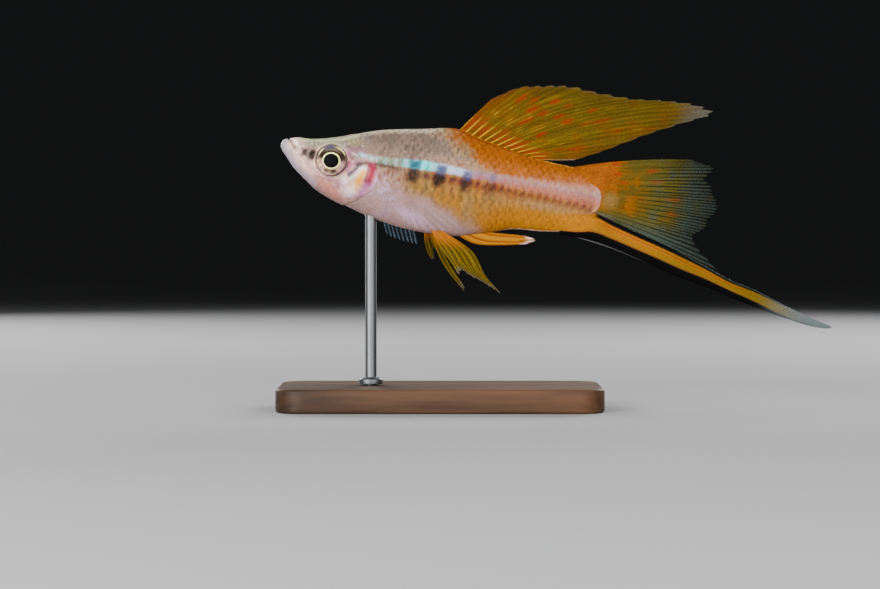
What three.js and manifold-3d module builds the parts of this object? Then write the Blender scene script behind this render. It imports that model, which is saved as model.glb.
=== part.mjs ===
// A male green swordtail, life size, held on a plain display stand.
// Millimetres. The fish faces -X, its left side faces -Y, and +Z is up.
// The origin is the centre of the stand's underside.

import * as THREE from "three";
import { mergeVertices } from "three/addons/utils/BufferGeometryUtils.js";
import Module from "manifold-3d";

const wasm = await Module();
wasm.setup();

// Driving sizes

const standardLength = 68.6;
const slope = THREE.MathUtils.degToRad(9.9);
const snoutTip = new THREE.Vector3(-33.4, 0, 55.2);
const gap = 0.3;

const eyeCentre = new THREE.Vector3(11.1, 2.75, -1.1);
const eyeRadius = 3.25;
const eyeHalfDepth = 1.75;

const gillInnerPlane = 3.6;

const baseLength = 68;
const baseWidth = 34;
const baseHeight = 5;
const baseCorner = 6;
const baseChamfer = 0.6;

const rodX = -14.5;
const rodRadius = 1.2;
const rodCollarRadius = 2.6;
const rodCollarHeight = 1.4;
const rodSink = 2.5;
const rodTop = 44.2;

// Body sections along the fish's own axis: distance from the snout tip,
// height of the back, height of the belly, and half the width there.

const sections = [
  { at: 0.0, back: 0.15, belly: 0.1, half: 0.0 },
  { at: 0.35, back: 1.35, belly: -0.7, half: 1.25 },
  { at: 1.6, back: 1.85, belly: -2.05, half: 2.0 },
  { at: 3.3, back: 2.45, belly: -3.9, half: 2.6 },
  { at: 6.0, back: 2.6, belly: -5.9, half: 3.3 },
  { at: 9.0, back: 3.25, belly: -7.9, half: 3.95 },
  { at: 12.5, back: 4.3, belly: -9.3, half: 4.4 },
  { at: 16.5, back: 5.9, belly: -10.45, half: 4.85 },
  { at: 21.0, back: 7.3, belly: -11.65, half: 5.15 },
  { at: 28.0, back: 8.7, belly: -12.75, half: 5.2 },
  { at: 35.7, back: 10.1, belly: -12.85, half: 4.7 },
  { at: 40.0, back: 9.0, belly: -12.35, half: 4.2 },
  { at: 46.0, back: 7.95, belly: -10.6, half: 3.5 },
  { at: 51.0, back: 7.2, belly: -9.0, half: 2.95 },
  { at: 57.0, back: 6.55, belly: -8.4, half: 2.4 },
  { at: 62.5, back: 6.2, belly: -7.4, half: 1.85 },
  { at: 66.0, back: 4.8, belly: -6.0, half: 1.3 },
  { at: 68.0, back: 2.2, belly: -3.8, half: 0.75 },
  { at: standardLength, back: -0.7, belly: -0.75, half: 0.0 },
];

// Side lines of the thin cuts that part the head, jaw, trunk and tail stalk

const mouthLine = [
  [1.2, 3.2],
  [1.55, 1.6],
  [3.1, 0.1],
  [4.3, -1.8],
  [5.2, -7.5],
];
const gillLine = [
  [17.6, 8.5],
  [19.5, 2.2],
  [20.6, -1.0],
  [21.45, -3.6],
  [20.4, -6.0],
  [17.6, -8.7],
  [14.8, -10.2],
  [12.6, -12.0],
];
const stalkLine = [
  [50.6, 9.5],
  [50.6, -11.5],
];

// Fins: each ray has a root, a tip and the slope at which it leaves the body

const dorsalRays = [
  { root: 36.2, tip: [41.9, 17.4], rise: 56 },
  { root: 37.5, tip: [47.3, 20.8], rise: 53 },
  { root: 38.8, tip: [52.6, 22.1], rise: 51 },
  { root: 40.2, tip: [58.0, 22.9], rise: 48 },
  { root: 41.5, tip: [64.6, 22.6], rise: 45 },
  { root: 42.9, tip: [71.6, 22.6], rise: 42 },
  { root: 44.2, tip: [78.6, 23.4], rise: 38 },
  { root: 45.7, tip: [84.9, 23.6], rise: 35 },
  { root: 47.1, tip: [88.7, 22.4], rise: 31 },
  { root: 48.5, tip: [82.3, 19.1], rise: 26 },
  { root: 49.8, tip: [74.6, 15.1], rise: 19 },
  { root: 50.9, tip: [67.5, 10.9], rise: 10 },
  { root: 52.0, tip: [61.2, 7.65], rise: 2 },
];

const caudalRays = [
  { root: [62.6, 6.1], tip: [86.2, 12.2], rise: 20 },
  { root: [64.6, 5.0], tip: [90.9, 11.3], rise: 18 },
  { root: [66.1, 3.6], tip: [90.4, 8.3], rise: 12 },
  { root: [67.1, 2.3], tip: [92.2, 5.5], rise: 8 },
  { root: [67.7, 1.2], tip: [93.6, 3.1], rise: 4 },
  { root: [68.0, 0.2], tip: [92.5, 0.4], rise: 0 },
  { root: [68.1, -0.7], tip: [91.2, -2.3], rise: -5 },
  { root: [68.1, -1.5], tip: [89.8, -4.9], rise: -9 },
  { root: [67.9, -2.2], tip: [97.0, -10.75], rise: -13 },
];

const swordSections = [
  { at: 60.6, top: -7.2, bottom: -8.3 },
  { at: 64.5, top: -6.0, bottom: -8.3 },
  { at: 67.6, top: -2.6, bottom: -8.6 },
  { at: 72.0, top: -3.75, bottom: -9.25 },
  { at: 77.0, top: -5.1, bottom: -10.35 },
  { at: 82.0, top: -6.35, bottom: -11.5 },
  { at: 87.0, top: -7.8, bottom: -12.75 },
  { at: 92.0, top: -9.45, bottom: -13.6 },
  { at: 97.5, top: -11.4, bottom: -14.85 },
  { at: 103.0, top: -12.6, bottom: -16.0 },
  { at: 110.0, top: -14.75, bottom: -17.3 },
  { at: 116.5, top: -16.55, bottom: -18.15 },
  { at: 120.5, top: -17.35, bottom: -17.95 },
];

const gonopodiumRays = [
  [[39.0, -11.8], [43.8, -13.2], [49.6, -12.45], [54.3, -11.4]],
  [[41.2, -11.0], [46.0, -11.8], [51.2, -11.2], [56.0, -10.3]],
  [[43.6, -10.2], [47.6, -10.2], [51.2, -9.9], [54.4, -9.75]],
];

// Paired fins: each ray runs through four places (along, outward, up)

const pelvicLeft = [
  [[33.9, 1.2, -12.0], [36.4, 2.6, -14.9], [39.0, 3.5, -17.6], [41.5, 4.1, -20.4]],
  [[34.5, 1.3, -12.0], [37.8, 2.8, -15.0], [40.2, 3.7, -17.4], [42.0, 4.3, -19.1]],
  [[35.1, 1.4, -11.95], [39.2, 2.9, -15.1], [41.9, 3.8, -18.0], [44.2, 4.4, -20.1]],
  [[35.6, 1.4, -11.9], [40.6, 2.9, -15.1], [43.8, 3.8, -18.5], [46.8, 4.4, -20.9]],
  [[36.1, 1.4, -11.8], [41.9, 2.9, -15.0], [45.4, 3.7, -18.9], [48.9, 4.2, -21.8]],
  [[36.6, 1.4, -11.7], [43.2, 2.8, -14.8], [46.9, 3.6, -19.3], [51.2, 4.0, -22.8]],
];
const pelvicRight = [
  [[32.6, 1.2, -12.2], [33.2, 2.8, -14.6], [34.1, 3.9, -16.7], [35.4, 4.7, -18.3]],
  [[33.1, 1.3, -12.2], [33.9, 3.0, -14.4], [34.8, 4.0, -16.2], [35.8, 4.8, -17.7]],
  [[33.7, 1.3, -12.1], [34.5, 2.8, -13.8], [35.0, 3.6, -14.8], [35.6, 4.2, -15.8]],
  [[34.3, 1.4, -12.1], [35.9, 2.9, -15.6], [38.6, 4.0, -19.4], [42.8, 4.8, -23.1]],
  [[34.9, 1.4, -12.0], [36.8, 2.7, -15.4], [39.8, 3.8, -19.0], [43.3, 4.6, -22.7]],
];
const pectoralLeft = [
  [[24.6, 5.35, -2.6], [29.5, 6.2, -5.2], [34.6, 7.1, -7.1], [39.7, 7.9, -9.6]],
  [[24.65, 5.4, -3.2], [28.9, 6.3, -6.2], [33.2, 7.3, -8.6], [37.6, 8.1, -11.3]],
  [[24.7, 5.4, -3.8], [28.0, 6.3, -6.9], [31.2, 7.2, -9.6], [34.3, 7.9, -12.3]],
  [[24.8, 5.35, -4.5], [26.9, 6.2, -7.2], [28.7, 6.9, -9.7], [30.5, 7.5, -12.0]],
  [[24.9, 5.3, -5.1], [25.9, 6.0, -7.1], [26.8, 6.6, -8.9], [27.6, 7.1, -10.6]],
];
const pectoralRight = [
  [[24.6, 5.35, -2.6], [27.8, 7.6, -7.0], [30.2, 9.4, -11.4], [32.2, 10.8, -15.9]],
  [[24.65, 5.4, -3.2], [27.2, 7.8, -7.5], [29.1, 9.6, -11.7], [30.5, 11.0, -15.8]],
  [[24.7, 5.4, -3.8], [26.5, 7.8, -7.8], [27.6, 9.7, -11.7], [28.3, 11.1, -15.4]],
  [[24.8, 5.35, -4.5], [25.7, 7.6, -7.9], [26.0, 9.4, -11.5], [25.9, 10.8, -14.9]],
  [[24.9, 5.3, -5.1], [25.1, 7.1, -7.7], [24.6, 8.8, -10.6], [23.5, 10.2, -13.2]],
];

// Colours and finishes

const finish = (color, roughness, metalness = 0) => ({ color, roughness, metalness });
const looks = {
  head: finish("#b9a79c", 0.45),
  flank: finish("#c9986a", 0.45),
  stalk: finish("#d0813a", 0.45),
  gill: finish("#cfa9a2", 0.35),
  eye: finish("#1b1a20", 0.1),
  orangeFin: finish("#c8721c", 0.5),
  clearFin: finish("#7d8468", 0.5),
  sword: finish("#e08a24", 0.5),
  paleFin: finish("#a9aba0", 0.5),
  wood: finish("#4a2f1d", 0.55),
  steel: finish("#b8babd", 0.3, 1),
};

// Smooth curve through values given at rising places, by cubic pieces

function through(places, values) {
  const slopes = values.map((value, i) => {
    const before = Math.max(i - 1, 0);
    const after = Math.min(i + 1, values.length - 1);
    return (values[after] - values[before]) / (places[after] - places[before]);
  });
  return (place) => {
    let i = 0;
    while (i < places.length - 2 && place > places[i + 1]) i += 1;
    const span = places[i + 1] - places[i];
    const t = THREE.MathUtils.clamp((place - places[i]) / span, 0, 1);
    const rise = values[i + 1] - values[i];
    const start = slopes[i] * span;
    const end = slopes[i + 1] * span;
    const bend = t * (1 - t) * ((start - rise) * (1 - t) - (end - rise) * t);
    return values[i] + rise * t + bend;
  };
}

// Distance along the body as an angle, so that both ends come out round

const turnAt = (at) => Math.acos(THREE.MathUtils.clamp(1 - (2 * at) / standardLength, -1, 1));
const turns = sections.map((section) => turnAt(section.at));
const backAt = through(turns, sections.map((section) => section.back));
const bellyAt = through(turns, sections.map((section) => section.belly));
const halfAt = through(turns, sections.map((section) => section.half));

// The body's widest line runs below the middle in the head and at it behind

const widestShare = through([0, 0.6, 1.3, Math.PI], [0.62, 0.6, 0.52, 0.52]);
const crownPower = through([0, 0.75, 1.2, Math.PI], [2.3, 2.7, 2.2, 2.0]);

// A point of the body's surface: turn runs from snout to tail, round goes about

function bodyPoint(turn, round, grow) {
  const swell = grow * Math.min(1, 4 * Math.sin(turn));
  const back = backAt(turn) + swell;
  const belly = bellyAt(turn) - swell;
  const half = halfAt(turn) + swell;
  const widest = belly + (back - belly) * widestShare(turn);
  const up = Math.sin(round) >= 0;
  const power = up ? crownPower(turn) : 2;
  const tall = up ? back - widest : widest - belly;
  const across = Math.sign(Math.cos(round)) * Math.abs(Math.cos(round)) ** (2 / power);
  const rise = Math.abs(Math.sin(round)) ** (2 / power) * (up ? 1 : -1);
  const ends = 0.5 * (1 - Math.cos(turn)) * (standardLength + 2 * grow) - grow;
  return new THREE.Vector3(ends, half * across, widest + tall * rise);
}

// Reshape a ready geometry by moving each of its points

function reshape(geometry, move) {
  const places = geometry.attributes.position;
  const point = new THREE.Vector3();
  for (let i = 0; i < places.count; i += 1) {
    point.fromBufferAttribute(places, i);
    const moved = move(point);
    places.setXYZ(i, moved.x, moved.y, moved.z);
  }
  return geometry;
}

function bodyGeometry(around, along, grow = 0) {
  const ball = new THREE.SphereGeometry(1, around, along);
  return reshape(ball, (point) => {
    const turn = Math.acos(THREE.MathUtils.clamp(point.y, -1, 1));
    const round = Math.atan2(point.z, point.x);
    return bodyPoint(turn, round, grow);
  });
}

// Solids for cutting and joining

function solidOf(geometry) {
  const bare = geometry.clone();
  bare.deleteAttribute("normal");
  bare.deleteAttribute("uv");
  const welded = mergeVertices(bare, 1e-4);
  const corners = Array.from(welded.index.array);
  const faces = [];
  for (let i = 0; i < corners.length; i += 3) {
    const [a, b, c] = corners.slice(i, i + 3);
    if (a !== b && b !== c && c !== a) faces.push(a, b, c);
  }
  const points = new Float32Array(welded.attributes.position.array);
  const mesh = new wasm.Mesh({ numProp: 3, vertProperties: points, triVerts: new Uint32Array(faces) });
  const solid = new wasm.Manifold(mesh);
  if (solid.volume() > 0) return solid;
  for (let i = 0; i < faces.length; i += 3) {
    [faces[i + 1], faces[i + 2]] = [faces[i + 2], faces[i + 1]];
  }
  const turned = new wasm.Mesh({ numProp: 3, vertProperties: points, triVerts: new Uint32Array(faces) });
  return new wasm.Manifold(turned);
}

function geometryOf(solid) {
  const mesh = solid.getMesh();
  const geometry = new THREE.BufferGeometry();
  geometry.setAttribute("position", new THREE.BufferAttribute(mesh.vertProperties, 3));
  geometry.setIndex(new THREE.BufferAttribute(mesh.triVerts, 1));
  geometry.computeVertexNormals();
  return geometry;
}

// A wall that follows a side line, as thick as the gap, right across the fish

function wallAlong(line) {
  const points = line.map(([x, z]) => new THREE.Vector2(x, z));
  const offsets = points.map((point, i) => {
    const before = points[Math.max(i - 1, 0)];
    const after = points[Math.min(i + 1, points.length - 1)];
    const way = after.clone().sub(before).normalize();
    return new THREE.Vector2(-way.y, way.x).multiplyScalar(gap / 2);
  });
  const oneSide = points.map((point, i) => point.clone().add(offsets[i]));
  const otherSide = points.map((point, i) => point.clone().sub(offsets[i])).reverse();
  return solidOf(sideExtrusion([...oneSide, ...otherSide], -20, 20));
}

// A side outline drawn out across the fish from one sideways place to another

function sideExtrusion(points, from, to) {
  const depth = to - from;
  const shape = new THREE.Shape(points);
  const geometry = new THREE.ExtrudeGeometry(shape, { depth, bevelEnabled: false });
  geometry.rotateX(Math.PI / 2);
  geometry.translate(0, to, 0);
  return geometry;
}

const sideSolid = (line, from = -20, to = 20) => {
  const points = line.map(([x, z]) => new THREE.Vector2(x, z));
  return solidOf(sideExtrusion(points, from, to));
};

// A fin blade: surface gives its middle at (across, along), half its thickness

function blade(surface, across, along, half) {
  const box = new THREE.BoxGeometry(1, 1, 1, across, 1, along);
  const step = 0.01;
  return reshape(box, (point) => {
    const u = point.x + 0.5;
    const v = point.z + 0.5;
    const here = surface(u, v);
    const acrossWay = surface(Math.min(u + step, 1), v).sub(surface(Math.max(u - step, 0), v));
    const alongWay = surface(u, Math.min(v + step, 1)).sub(surface(u, Math.max(v - step, 0)));
    const face = acrossWay.cross(alongWay).normalize();
    return here.addScaledVector(face, 2 * point.y * half(v));
  });
}

const smoothLine = (points) => new THREE.CatmullRomCurve3(points, false, "catmullrom", 0.5);

// A fan of rays as one surface: each ray is a list of places from root to tip,
// u goes from the first ray to the last, and v from the root to the tip

function fan(rays) {
  const lines = rays[0].map((_, i) => smoothLine(rays.map((ray) => ray[i])));
  return (u, v) => smoothLine(lines.map((line) => line.getPoint(u))).getPoint(v);
}

// A ray in the fish's middle plane that leaves its root at a given slope

function middleRay(root, tip, rise) {
  const from = new THREE.Vector3(root[0], 0, root[1]);
  const to = new THREE.Vector3(tip[0], 0, tip[1]);
  const angle = THREE.MathUtils.degToRad(rise);
  const reach = 0.45 * from.distanceTo(to);
  const bend = new THREE.Vector3(Math.cos(angle), 0, Math.sin(angle)).multiplyScalar(reach).add(from);
  return new THREE.QuadraticBezierCurve3(from, bend, to).getPoints(3);
}

// A ray of a paired fin, on the left (-1) or right (+1) side

const pairedRay = (ray, side) => ray.map(([x, y, z]) => new THREE.Vector3(x, y * side, z));

const thinning = (root, tip) => (v) => THREE.MathUtils.lerp(root, tip, v);

// The body and what is cut from it

const body = solidOf(bodyGeometry(26, 42));
const bodyAndGap = solidOf(bodyGeometry(26, 36, gap));

const eyeBall = (grow) => {
  const ball = new THREE.SphereGeometry(1, 20, 10);
  ball.rotateX(Math.PI / 2);
  ball.scale(eyeRadius + grow, eyeHalfDepth + grow, eyeRadius + grow);
  return ball;
};

function eyeSolid(side, grow) {
  const ball = eyeBall(grow);
  ball.translate(eyeCentre.x, side * eyeCentre.y, eyeCentre.z);
  return solidOf(ball);
}

// The gill cover's plate: its rear edge is the gill line

const gillFront = [
  [15.4, -8.6],
  [14.4, -5.4],
  [14.7, -1.6],
  [16.2, 1.2],
];
const gillRear = gillLine.slice(1, 6);
const gillOutline = [...gillRear, ...gillFront];

const away = (line, distance) => {
  const middle = [17.6, -3.4];
  return line.map(([x, z]) => {
    const reach = Math.hypot(x - middle[0], z - middle[1]);
    const scale = (reach + distance) / reach;
    return [middle[0] + (x - middle[0]) * scale, middle[1] + (z - middle[1]) * scale];
  });
};

function gillPlate(side, grow, inner) {
  const from = side > 0 ? inner : -20;
  const to = side > 0 ? 20 : -inner;
  return sideSolid(away(gillOutline, grow), from, to);
}

const rodInFish = () => {
  const hole = new THREE.CylinderGeometry(rodRadius + gap, rodRadius + gap, rodTop + gap, 18);
  hole.rotateX(Math.PI / 2);
  hole.translate(rodX, 0, (rodTop + gap) / 2);
  hole.translate(-snoutTip.x, -snoutTip.y, -snoutTip.z);
  hole.rotateY(-slope);
  return solidOf(hole);
};

const parted = body
  .subtract(wallAlong(mouthLine))
  .subtract(wallAlong(gillLine))
  .subtract(wallAlong(stalkLine))
  .subtract(eyeSolid(-1, gap))
  .subtract(eyeSolid(1, gap));

const jawRegion = [...mouthLine, [-5, -7.5], [-5, 3.2]];
const headRegion = [...mouthLine.slice().reverse(), [1.2, 15], [17.6, 15], ...gillLine, [12.6, -20], [5.2, -20]];
const trunkRegion = [...gillLine.slice().reverse(), [17.6, 20], [50.6, 20], [50.6, -20], [12.6, -20]];
const stalkRegion = [[50.6, 20], [80, 20], [80, -20], [50.6, -20]];

const jaw = parted.intersect(sideSolid(jawRegion));
const plates = gillPlate(-1, gap, gillInnerPlane - gap).add(gillPlate(1, gap, gillInnerPlane - gap));
const head = parted.intersect(sideSolid(headRegion)).subtract(plates);
const trunk = parted.intersect(sideSolid(trunkRegion)).subtract(rodInFish());
const stalk = parted.intersect(sideSolid(stalkRegion));
const gillCover = (side) => parted.intersect(gillPlate(side, 0, gillInnerPlane));

// Naming and colouring a node

const fish = new THREE.Group();
fish.position.copy(snoutTip);
fish.rotation.y = slope;

function part(name, geometry, look) {
  const material = new THREE.MeshStandardMaterial(looks[look]);
  material.name = look;
  const mesh = new THREE.Mesh(geometry, material);
  mesh.name = name;
  return mesh;
}

const inFish = (name, solid, look) => fish.add(part(name, geometryOf(solid), look));

function addFlesh() {
  inFish("head", head, "head");
  inFish("lower_jaw", jaw, "head");
  inFish("gill_cover_left", gillCover(-1), "gill");
  inFish("gill_cover_right", gillCover(1), "gill");
  inFish("trunk", trunk, "flank");
  inFish("tail_stalk", stalk, "stalk");
}

function addEyes() {
  for (const [name, side] of [["eye_left", -1], ["eye_right", 1]]) {
    const eye = part(name, eyeBall(0), "eye");
    eye.position.set(eyeCentre.x, side * eyeCentre.y, eyeCentre.z);
    fish.add(eye);
  }
}

const clearOfBody = (geometry) => solidOf(geometry).subtract(bodyAndGap);

function addDorsalFin() {
  const rays = dorsalRays.map(({ root, tip, rise }) => {
    const height = backAt(turnAt(root)) - 0.3;
    return middleRay([root, height], tip, rise);
  });
  const fin = clearOfBody(blade(fan(rays), 22, 7, thinning(0.5, 0.28)));
  inFish("dorsal_fin", fin, "orangeFin");
}

function addCaudalFin() {
  const rays = caudalRays.map(({ root, tip, rise }) => middleRay(root, tip, rise));
  const fin = clearOfBody(blade(fan(rays), 18, 6, thinning(0.5, 0.28)));
  inFish("caudal_fin", fin.subtract(swordSolid(gap)), "clearFin");
}

// The sword is the long lower lobe of the tail fin

function swordSolid(grow) {
  const places = swordSections.map((section) => section.at);
  const topAt = through(places, swordSections.map((section) => section.top));
  const bottomAt = through(places, swordSections.map((section) => section.bottom));
  const from = places[0];
  const to = places[places.length - 1];
  const surface = (u, v) => {
    const at = THREE.MathUtils.lerp(from, to, v);
    const height = THREE.MathUtils.lerp(topAt(at) + grow, bottomAt(at) - grow, u);
    return new THREE.Vector3(at, 0, height);
  };
  return solidOf(blade(surface, 2, 24, thinning(0.6 + grow, 0.3 + grow)));
}

function addSword() {
  inFish("sword", swordSolid(0).subtract(bodyAndGap), "sword");
}

function addGonopodium() {
  const rays = gonopodiumRays.map((ray) => ray.map(([x, z]) => new THREE.Vector3(x, 0, z)));
  const fin = clearOfBody(blade(fan(rays), 4, 9, thinning(0.6, 0.35)));
  inFish("gonopodium", fin, "orangeFin");
}

function addPairedFins() {
  const sets = [
    ["pelvic_fin_left", pelvicLeft, -1, "orangeFin"],
    ["pelvic_fin_right", pelvicRight, 1, "orangeFin"],
    ["pectoral_fin_left", pectoralLeft, -1, "paleFin"],
    ["pectoral_fin_right", pectoralRight, 1, "paleFin"],
  ];
  for (const [name, table, side, look] of sets) {
    const rays = table.map((ray) => pairedRay(ray, side));
    const fin = clearOfBody(blade(fan(rays), 12, 6, thinning(0.35, 0.27)));
    inFish(name, fin, look);
  }
}

// The stand: a flat base and one rod up to the breast

function roundedRectangle(length, width, corner) {
  const x = length / 2;
  const y = width / 2;
  const shape = new THREE.Shape();
  shape.moveTo(-x + corner, -y);
  shape.lineTo(x - corner, -y);
  shape.absarc(x - corner, -y + corner, corner, -Math.PI / 2, 0);
  shape.lineTo(x, y - corner);
  shape.absarc(x - corner, y - corner, corner, 0, Math.PI / 2);
  shape.lineTo(-x + corner, y);
  shape.absarc(-x + corner, y - corner, corner, Math.PI / 2, Math.PI);
  shape.lineTo(-x, -y + corner);
  shape.absarc(-x + corner, -y + corner, corner, Math.PI, Math.PI * 1.5);
  return shape;
}

function standBase() {
  const inset = 2 * baseChamfer;
  const outline = roundedRectangle(baseLength - inset, baseWidth - inset, baseCorner - baseChamfer);
  const slab = new THREE.ExtrudeGeometry(outline, {
    depth: baseHeight - 2 * baseChamfer,
    curveSegments: 6,
    bevelThickness: baseChamfer,
    bevelSize: baseChamfer,
    bevelSegments: 1,
  });
  slab.translate(0, 0, baseChamfer);
  const depth = rodSink + gap;
  const hole = new THREE.CylinderGeometry(rodRadius + gap, rodRadius + gap, depth + 1, 18);
  hole.rotateX(Math.PI / 2);
  hole.translate(rodX, 0, baseHeight - depth + (depth + 1) / 2);
  return geometryOf(solidOf(slab).subtract(solidOf(hole)));
}

function standRod() {
  const collarFloor = baseHeight + gap;
  const profile = [
    new THREE.Vector2(0, baseHeight - rodSink),
    new THREE.Vector2(rodRadius, baseHeight - rodSink),
    new THREE.Vector2(rodRadius, collarFloor),
    new THREE.Vector2(rodCollarRadius, collarFloor),
    new THREE.Vector2(rodCollarRadius, collarFloor + 0.7 * rodCollarHeight),
    new THREE.Vector2(0.7 * rodCollarRadius, collarFloor + rodCollarHeight),
    new THREE.Vector2(rodRadius, collarFloor + rodCollarHeight),
    new THREE.Vector2(rodRadius, rodTop),
    new THREE.Vector2(0, rodTop),
  ];
  const rod = new THREE.LatheGeometry(profile, 18);
  rod.rotateX(Math.PI / 2);
  return geometryOf(solidOf(rod));
}

const group = new THREE.Group();

function addStand() {
  group.add(part("stand_base", standBase(), "wood"));
  const rod = part("stand_rod", standRod(), "steel");
  rod.position.x = rodX;
  group.add(rod);
}

addFlesh();
addEyes();
addDorsalFin();
addCaudalFin();
addSword();
addGonopodium();
addPairedFins();
group.add(fish);
addStand();

export default group;
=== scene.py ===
import math

import bmesh
import bpy
import numpy as np
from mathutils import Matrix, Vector


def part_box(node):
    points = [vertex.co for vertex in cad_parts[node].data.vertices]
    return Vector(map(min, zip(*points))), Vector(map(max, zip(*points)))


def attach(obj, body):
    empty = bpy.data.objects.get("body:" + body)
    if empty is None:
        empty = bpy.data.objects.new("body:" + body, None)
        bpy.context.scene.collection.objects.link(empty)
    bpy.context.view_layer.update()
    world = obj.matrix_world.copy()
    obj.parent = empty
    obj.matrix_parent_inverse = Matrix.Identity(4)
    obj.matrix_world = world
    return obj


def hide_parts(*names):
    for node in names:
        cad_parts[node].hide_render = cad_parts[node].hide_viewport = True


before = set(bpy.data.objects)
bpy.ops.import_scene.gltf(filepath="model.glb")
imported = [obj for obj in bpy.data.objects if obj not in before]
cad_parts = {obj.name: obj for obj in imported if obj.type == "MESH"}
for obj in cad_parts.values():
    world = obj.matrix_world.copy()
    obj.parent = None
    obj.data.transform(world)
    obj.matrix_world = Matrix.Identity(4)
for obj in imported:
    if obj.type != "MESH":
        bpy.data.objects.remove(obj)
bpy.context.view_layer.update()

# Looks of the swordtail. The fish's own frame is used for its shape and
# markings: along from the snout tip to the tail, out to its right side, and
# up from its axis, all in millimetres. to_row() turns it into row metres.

MM = 0.001
SLOPE = math.radians(9.9)
SNOUT_TIP = np.array([-33.4, 0.0, 55.2])
STANDARD_LENGTH = 68.6
COAT_DEPTH = 0.2
LEFT = -1
RIGHT = 1

PHOTO_PIXEL = 0.21
PHOTO_WIDTH = 880
PHOTO_MIDDLE_ROW = 294.5
PHOTO_FLOOR_ROW = 409

EYE_CENTRE = np.array([11.15, 2.75, -1.16])
SOCKET_RADIUS = 3.3
SOCKET_DEPTH = 1.5

GILL_LINE = np.array([
    [17.6, 8.5], [19.5, 2.2], [20.6, -1.0], [21.45, -3.6],
    [20.4, -6.0], [17.6, -8.7], [14.8, -10.2], [12.6, -12.0],
])
CHEEK_LINE = np.array([[16.4, 1.4], [14.9, -1.6], [14.3, -5.0], [15.0, -8.0], [16.6, -9.6]])
MOUTH_LINE = np.array([[1.1, 2.6], [1.55, 1.6], [2.3, 0.9], [3.1, 0.1]])


def to_row(points):
    """Fish millimetres to row metres."""
    along, out, up = points[..., 0], points[..., 1], points[..., 2]
    row = np.stack([
        along * math.cos(SLOPE) + up * math.sin(SLOPE),
        out,
        -along * math.sin(SLOPE) + up * math.cos(SLOPE),
    ], axis=-1)
    return (row + SNOUT_TIP) * MM


# Palette, as linear red, green and blue


def colour(red, green, blue):
    """A palette entry. Screen colours were typed with the averages of patches of the photo
    as a guide, another program worked the entries out from them, and 32 of the entries
    were changed afterwards."""
    return np.array([red, green, blue])


LIP_GREY = colour(0.314, 0.280, 0.297)
LIP_PALE = colour(0.950, 0.769, 0.675)
SNOUT = colour(0.723, 0.451, 0.355)
CHEEK = colour(0.741, 0.424, 0.340)
SALMON = colour(0.514, 0.154, 0.110)
THROAT = colour(0.247, 0.149, 0.124)
CHIN_BLUE = colour(0.332, 0.272, 0.366)
CROWN = colour(0.243, 0.242, 0.166)
CROWN_EDGE_HIGHLIGHT = colour(0.459, 0.489, 0.254)
NAPE_GREEN = colour(0.207, 0.209, 0.067)
HEAD_BACK = colour(0.178, 0.116, 0.107)
FRECKLE = colour(0.061, 0.039, 0.026)
MAUVE = colour(0.219, 0.066, 0.129)
PINK_RED = colour(0.277, 0.025, 0.066)
MOUTH_DARK = colour(0.083, 0.060, 0.057)
NOSTRIL = colour(0.008, 0.001, 0.001)
ORBIT_SHADE = colour(0.048, 0.023, 0.033)
ORBIT_HIGHLIGHT = colour(0.950, 0.760, 0.458)
GILL_DARK = colour(0.024, 0.020, 0.045)
GILL_BROWN = colour(0.046, 0.025, 0.020)
GILL_MINT = colour(0.200, 0.652, 0.526)
GILL_CREAM = colour(0.950, 0.950, 0.916)
GILL_YELLOW = colour(0.858, 0.368, 0.001)
GILL_GOLD = colour(0.663, 0.246, 0.001)
GILL_RED = colour(0.293, 0.004, 0.039)
GILL_WINE = colour(0.117, 0.014, 0.028)
GILL_PURPLE = colour(0.281, 0.090, 0.254)
GILL_LILAC = colour(0.702, 0.445, 0.840)
GILL_SILVER = colour(0.802, 0.611, 0.687)
BACK_GREY = colour(0.170, 0.124, 0.092)
BACK_PINK = colour(0.276, 0.174, 0.132)
BACK_EDGE = colour(0.322, 0.276, 0.126)
BACK_DARK = colour(0.066, 0.048, 0.038)
ORANGE = colour(0.257, 0.062, 0.001)
ORANGE_BRIGHT = colour(0.297, 0.083, 0.001)
ORANGE_DEEP = colour(0.141, 0.037, 0.001)
STRIPE_CREAM = colour(0.168, 0.202, 0.129)
STRIPE_MINT = colour(0.139, 0.310, 0.220)
STRIPE_AQUA = colour(0.018, 0.678, 0.728)
STRIPE_WHITE = colour(0.404, 0.441, 0.577)
STRIPE_LILAC = colour(0.258, 0.137, 0.188)
BAND_PINK = colour(0.309, 0.113, 0.084)
BAND_CREAM = colour(0.348, 0.188, 0.095)
BAND_CORAL = colour(0.291, 0.079, 0.044)
LINE_PURPLE = colour(0.042, 0.009, 0.013)
LINE_BROWN = colour(0.134, 0.036, 0.019)
CORAL = colour(0.295, 0.058, 0.010)
SPOT_DARK = colour(0.006, 0.005, 0.006)
SPOT_TEAL = colour(0.007, 0.065, 0.105)
SPOT_BLUE = colour(0.034, 0.052, 0.125)
FLANK_TAN = colour(0.281, 0.146, 0.035)
FLANK_OLIVE = colour(0.179, 0.110, 0.030)
FLANK_PINK = colour(0.335, 0.193, 0.140)
FLANK_ORANGE = colour(0.313, 0.118, 0.004)
REAR_BELLY = colour(0.325, 0.118, 0.001)
BELLY = colour(0.297, 0.175, 0.162)
BELLY_LILAC = colour(0.261, 0.181, 0.246)
BELLY_SHADE = colour(0.209, 0.131, 0.110)
HYPURAL_PALE = colour(0.348, 0.233, 0.180)
FIN_ORANGE = colour(0.300, 0.077, 0.001)
FIN_OLIVE = colour(0.071, 0.043, 0.001)
FIN_DARK = colour(0.047, 0.032, 0.001)
FIN_GOLD = colour(0.162, 0.100, 0.001)
RAY_PALE = colour(0.662, 0.332, 0.001)
FIN_RED = colour(0.217, 0.010, 0.001)
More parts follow.
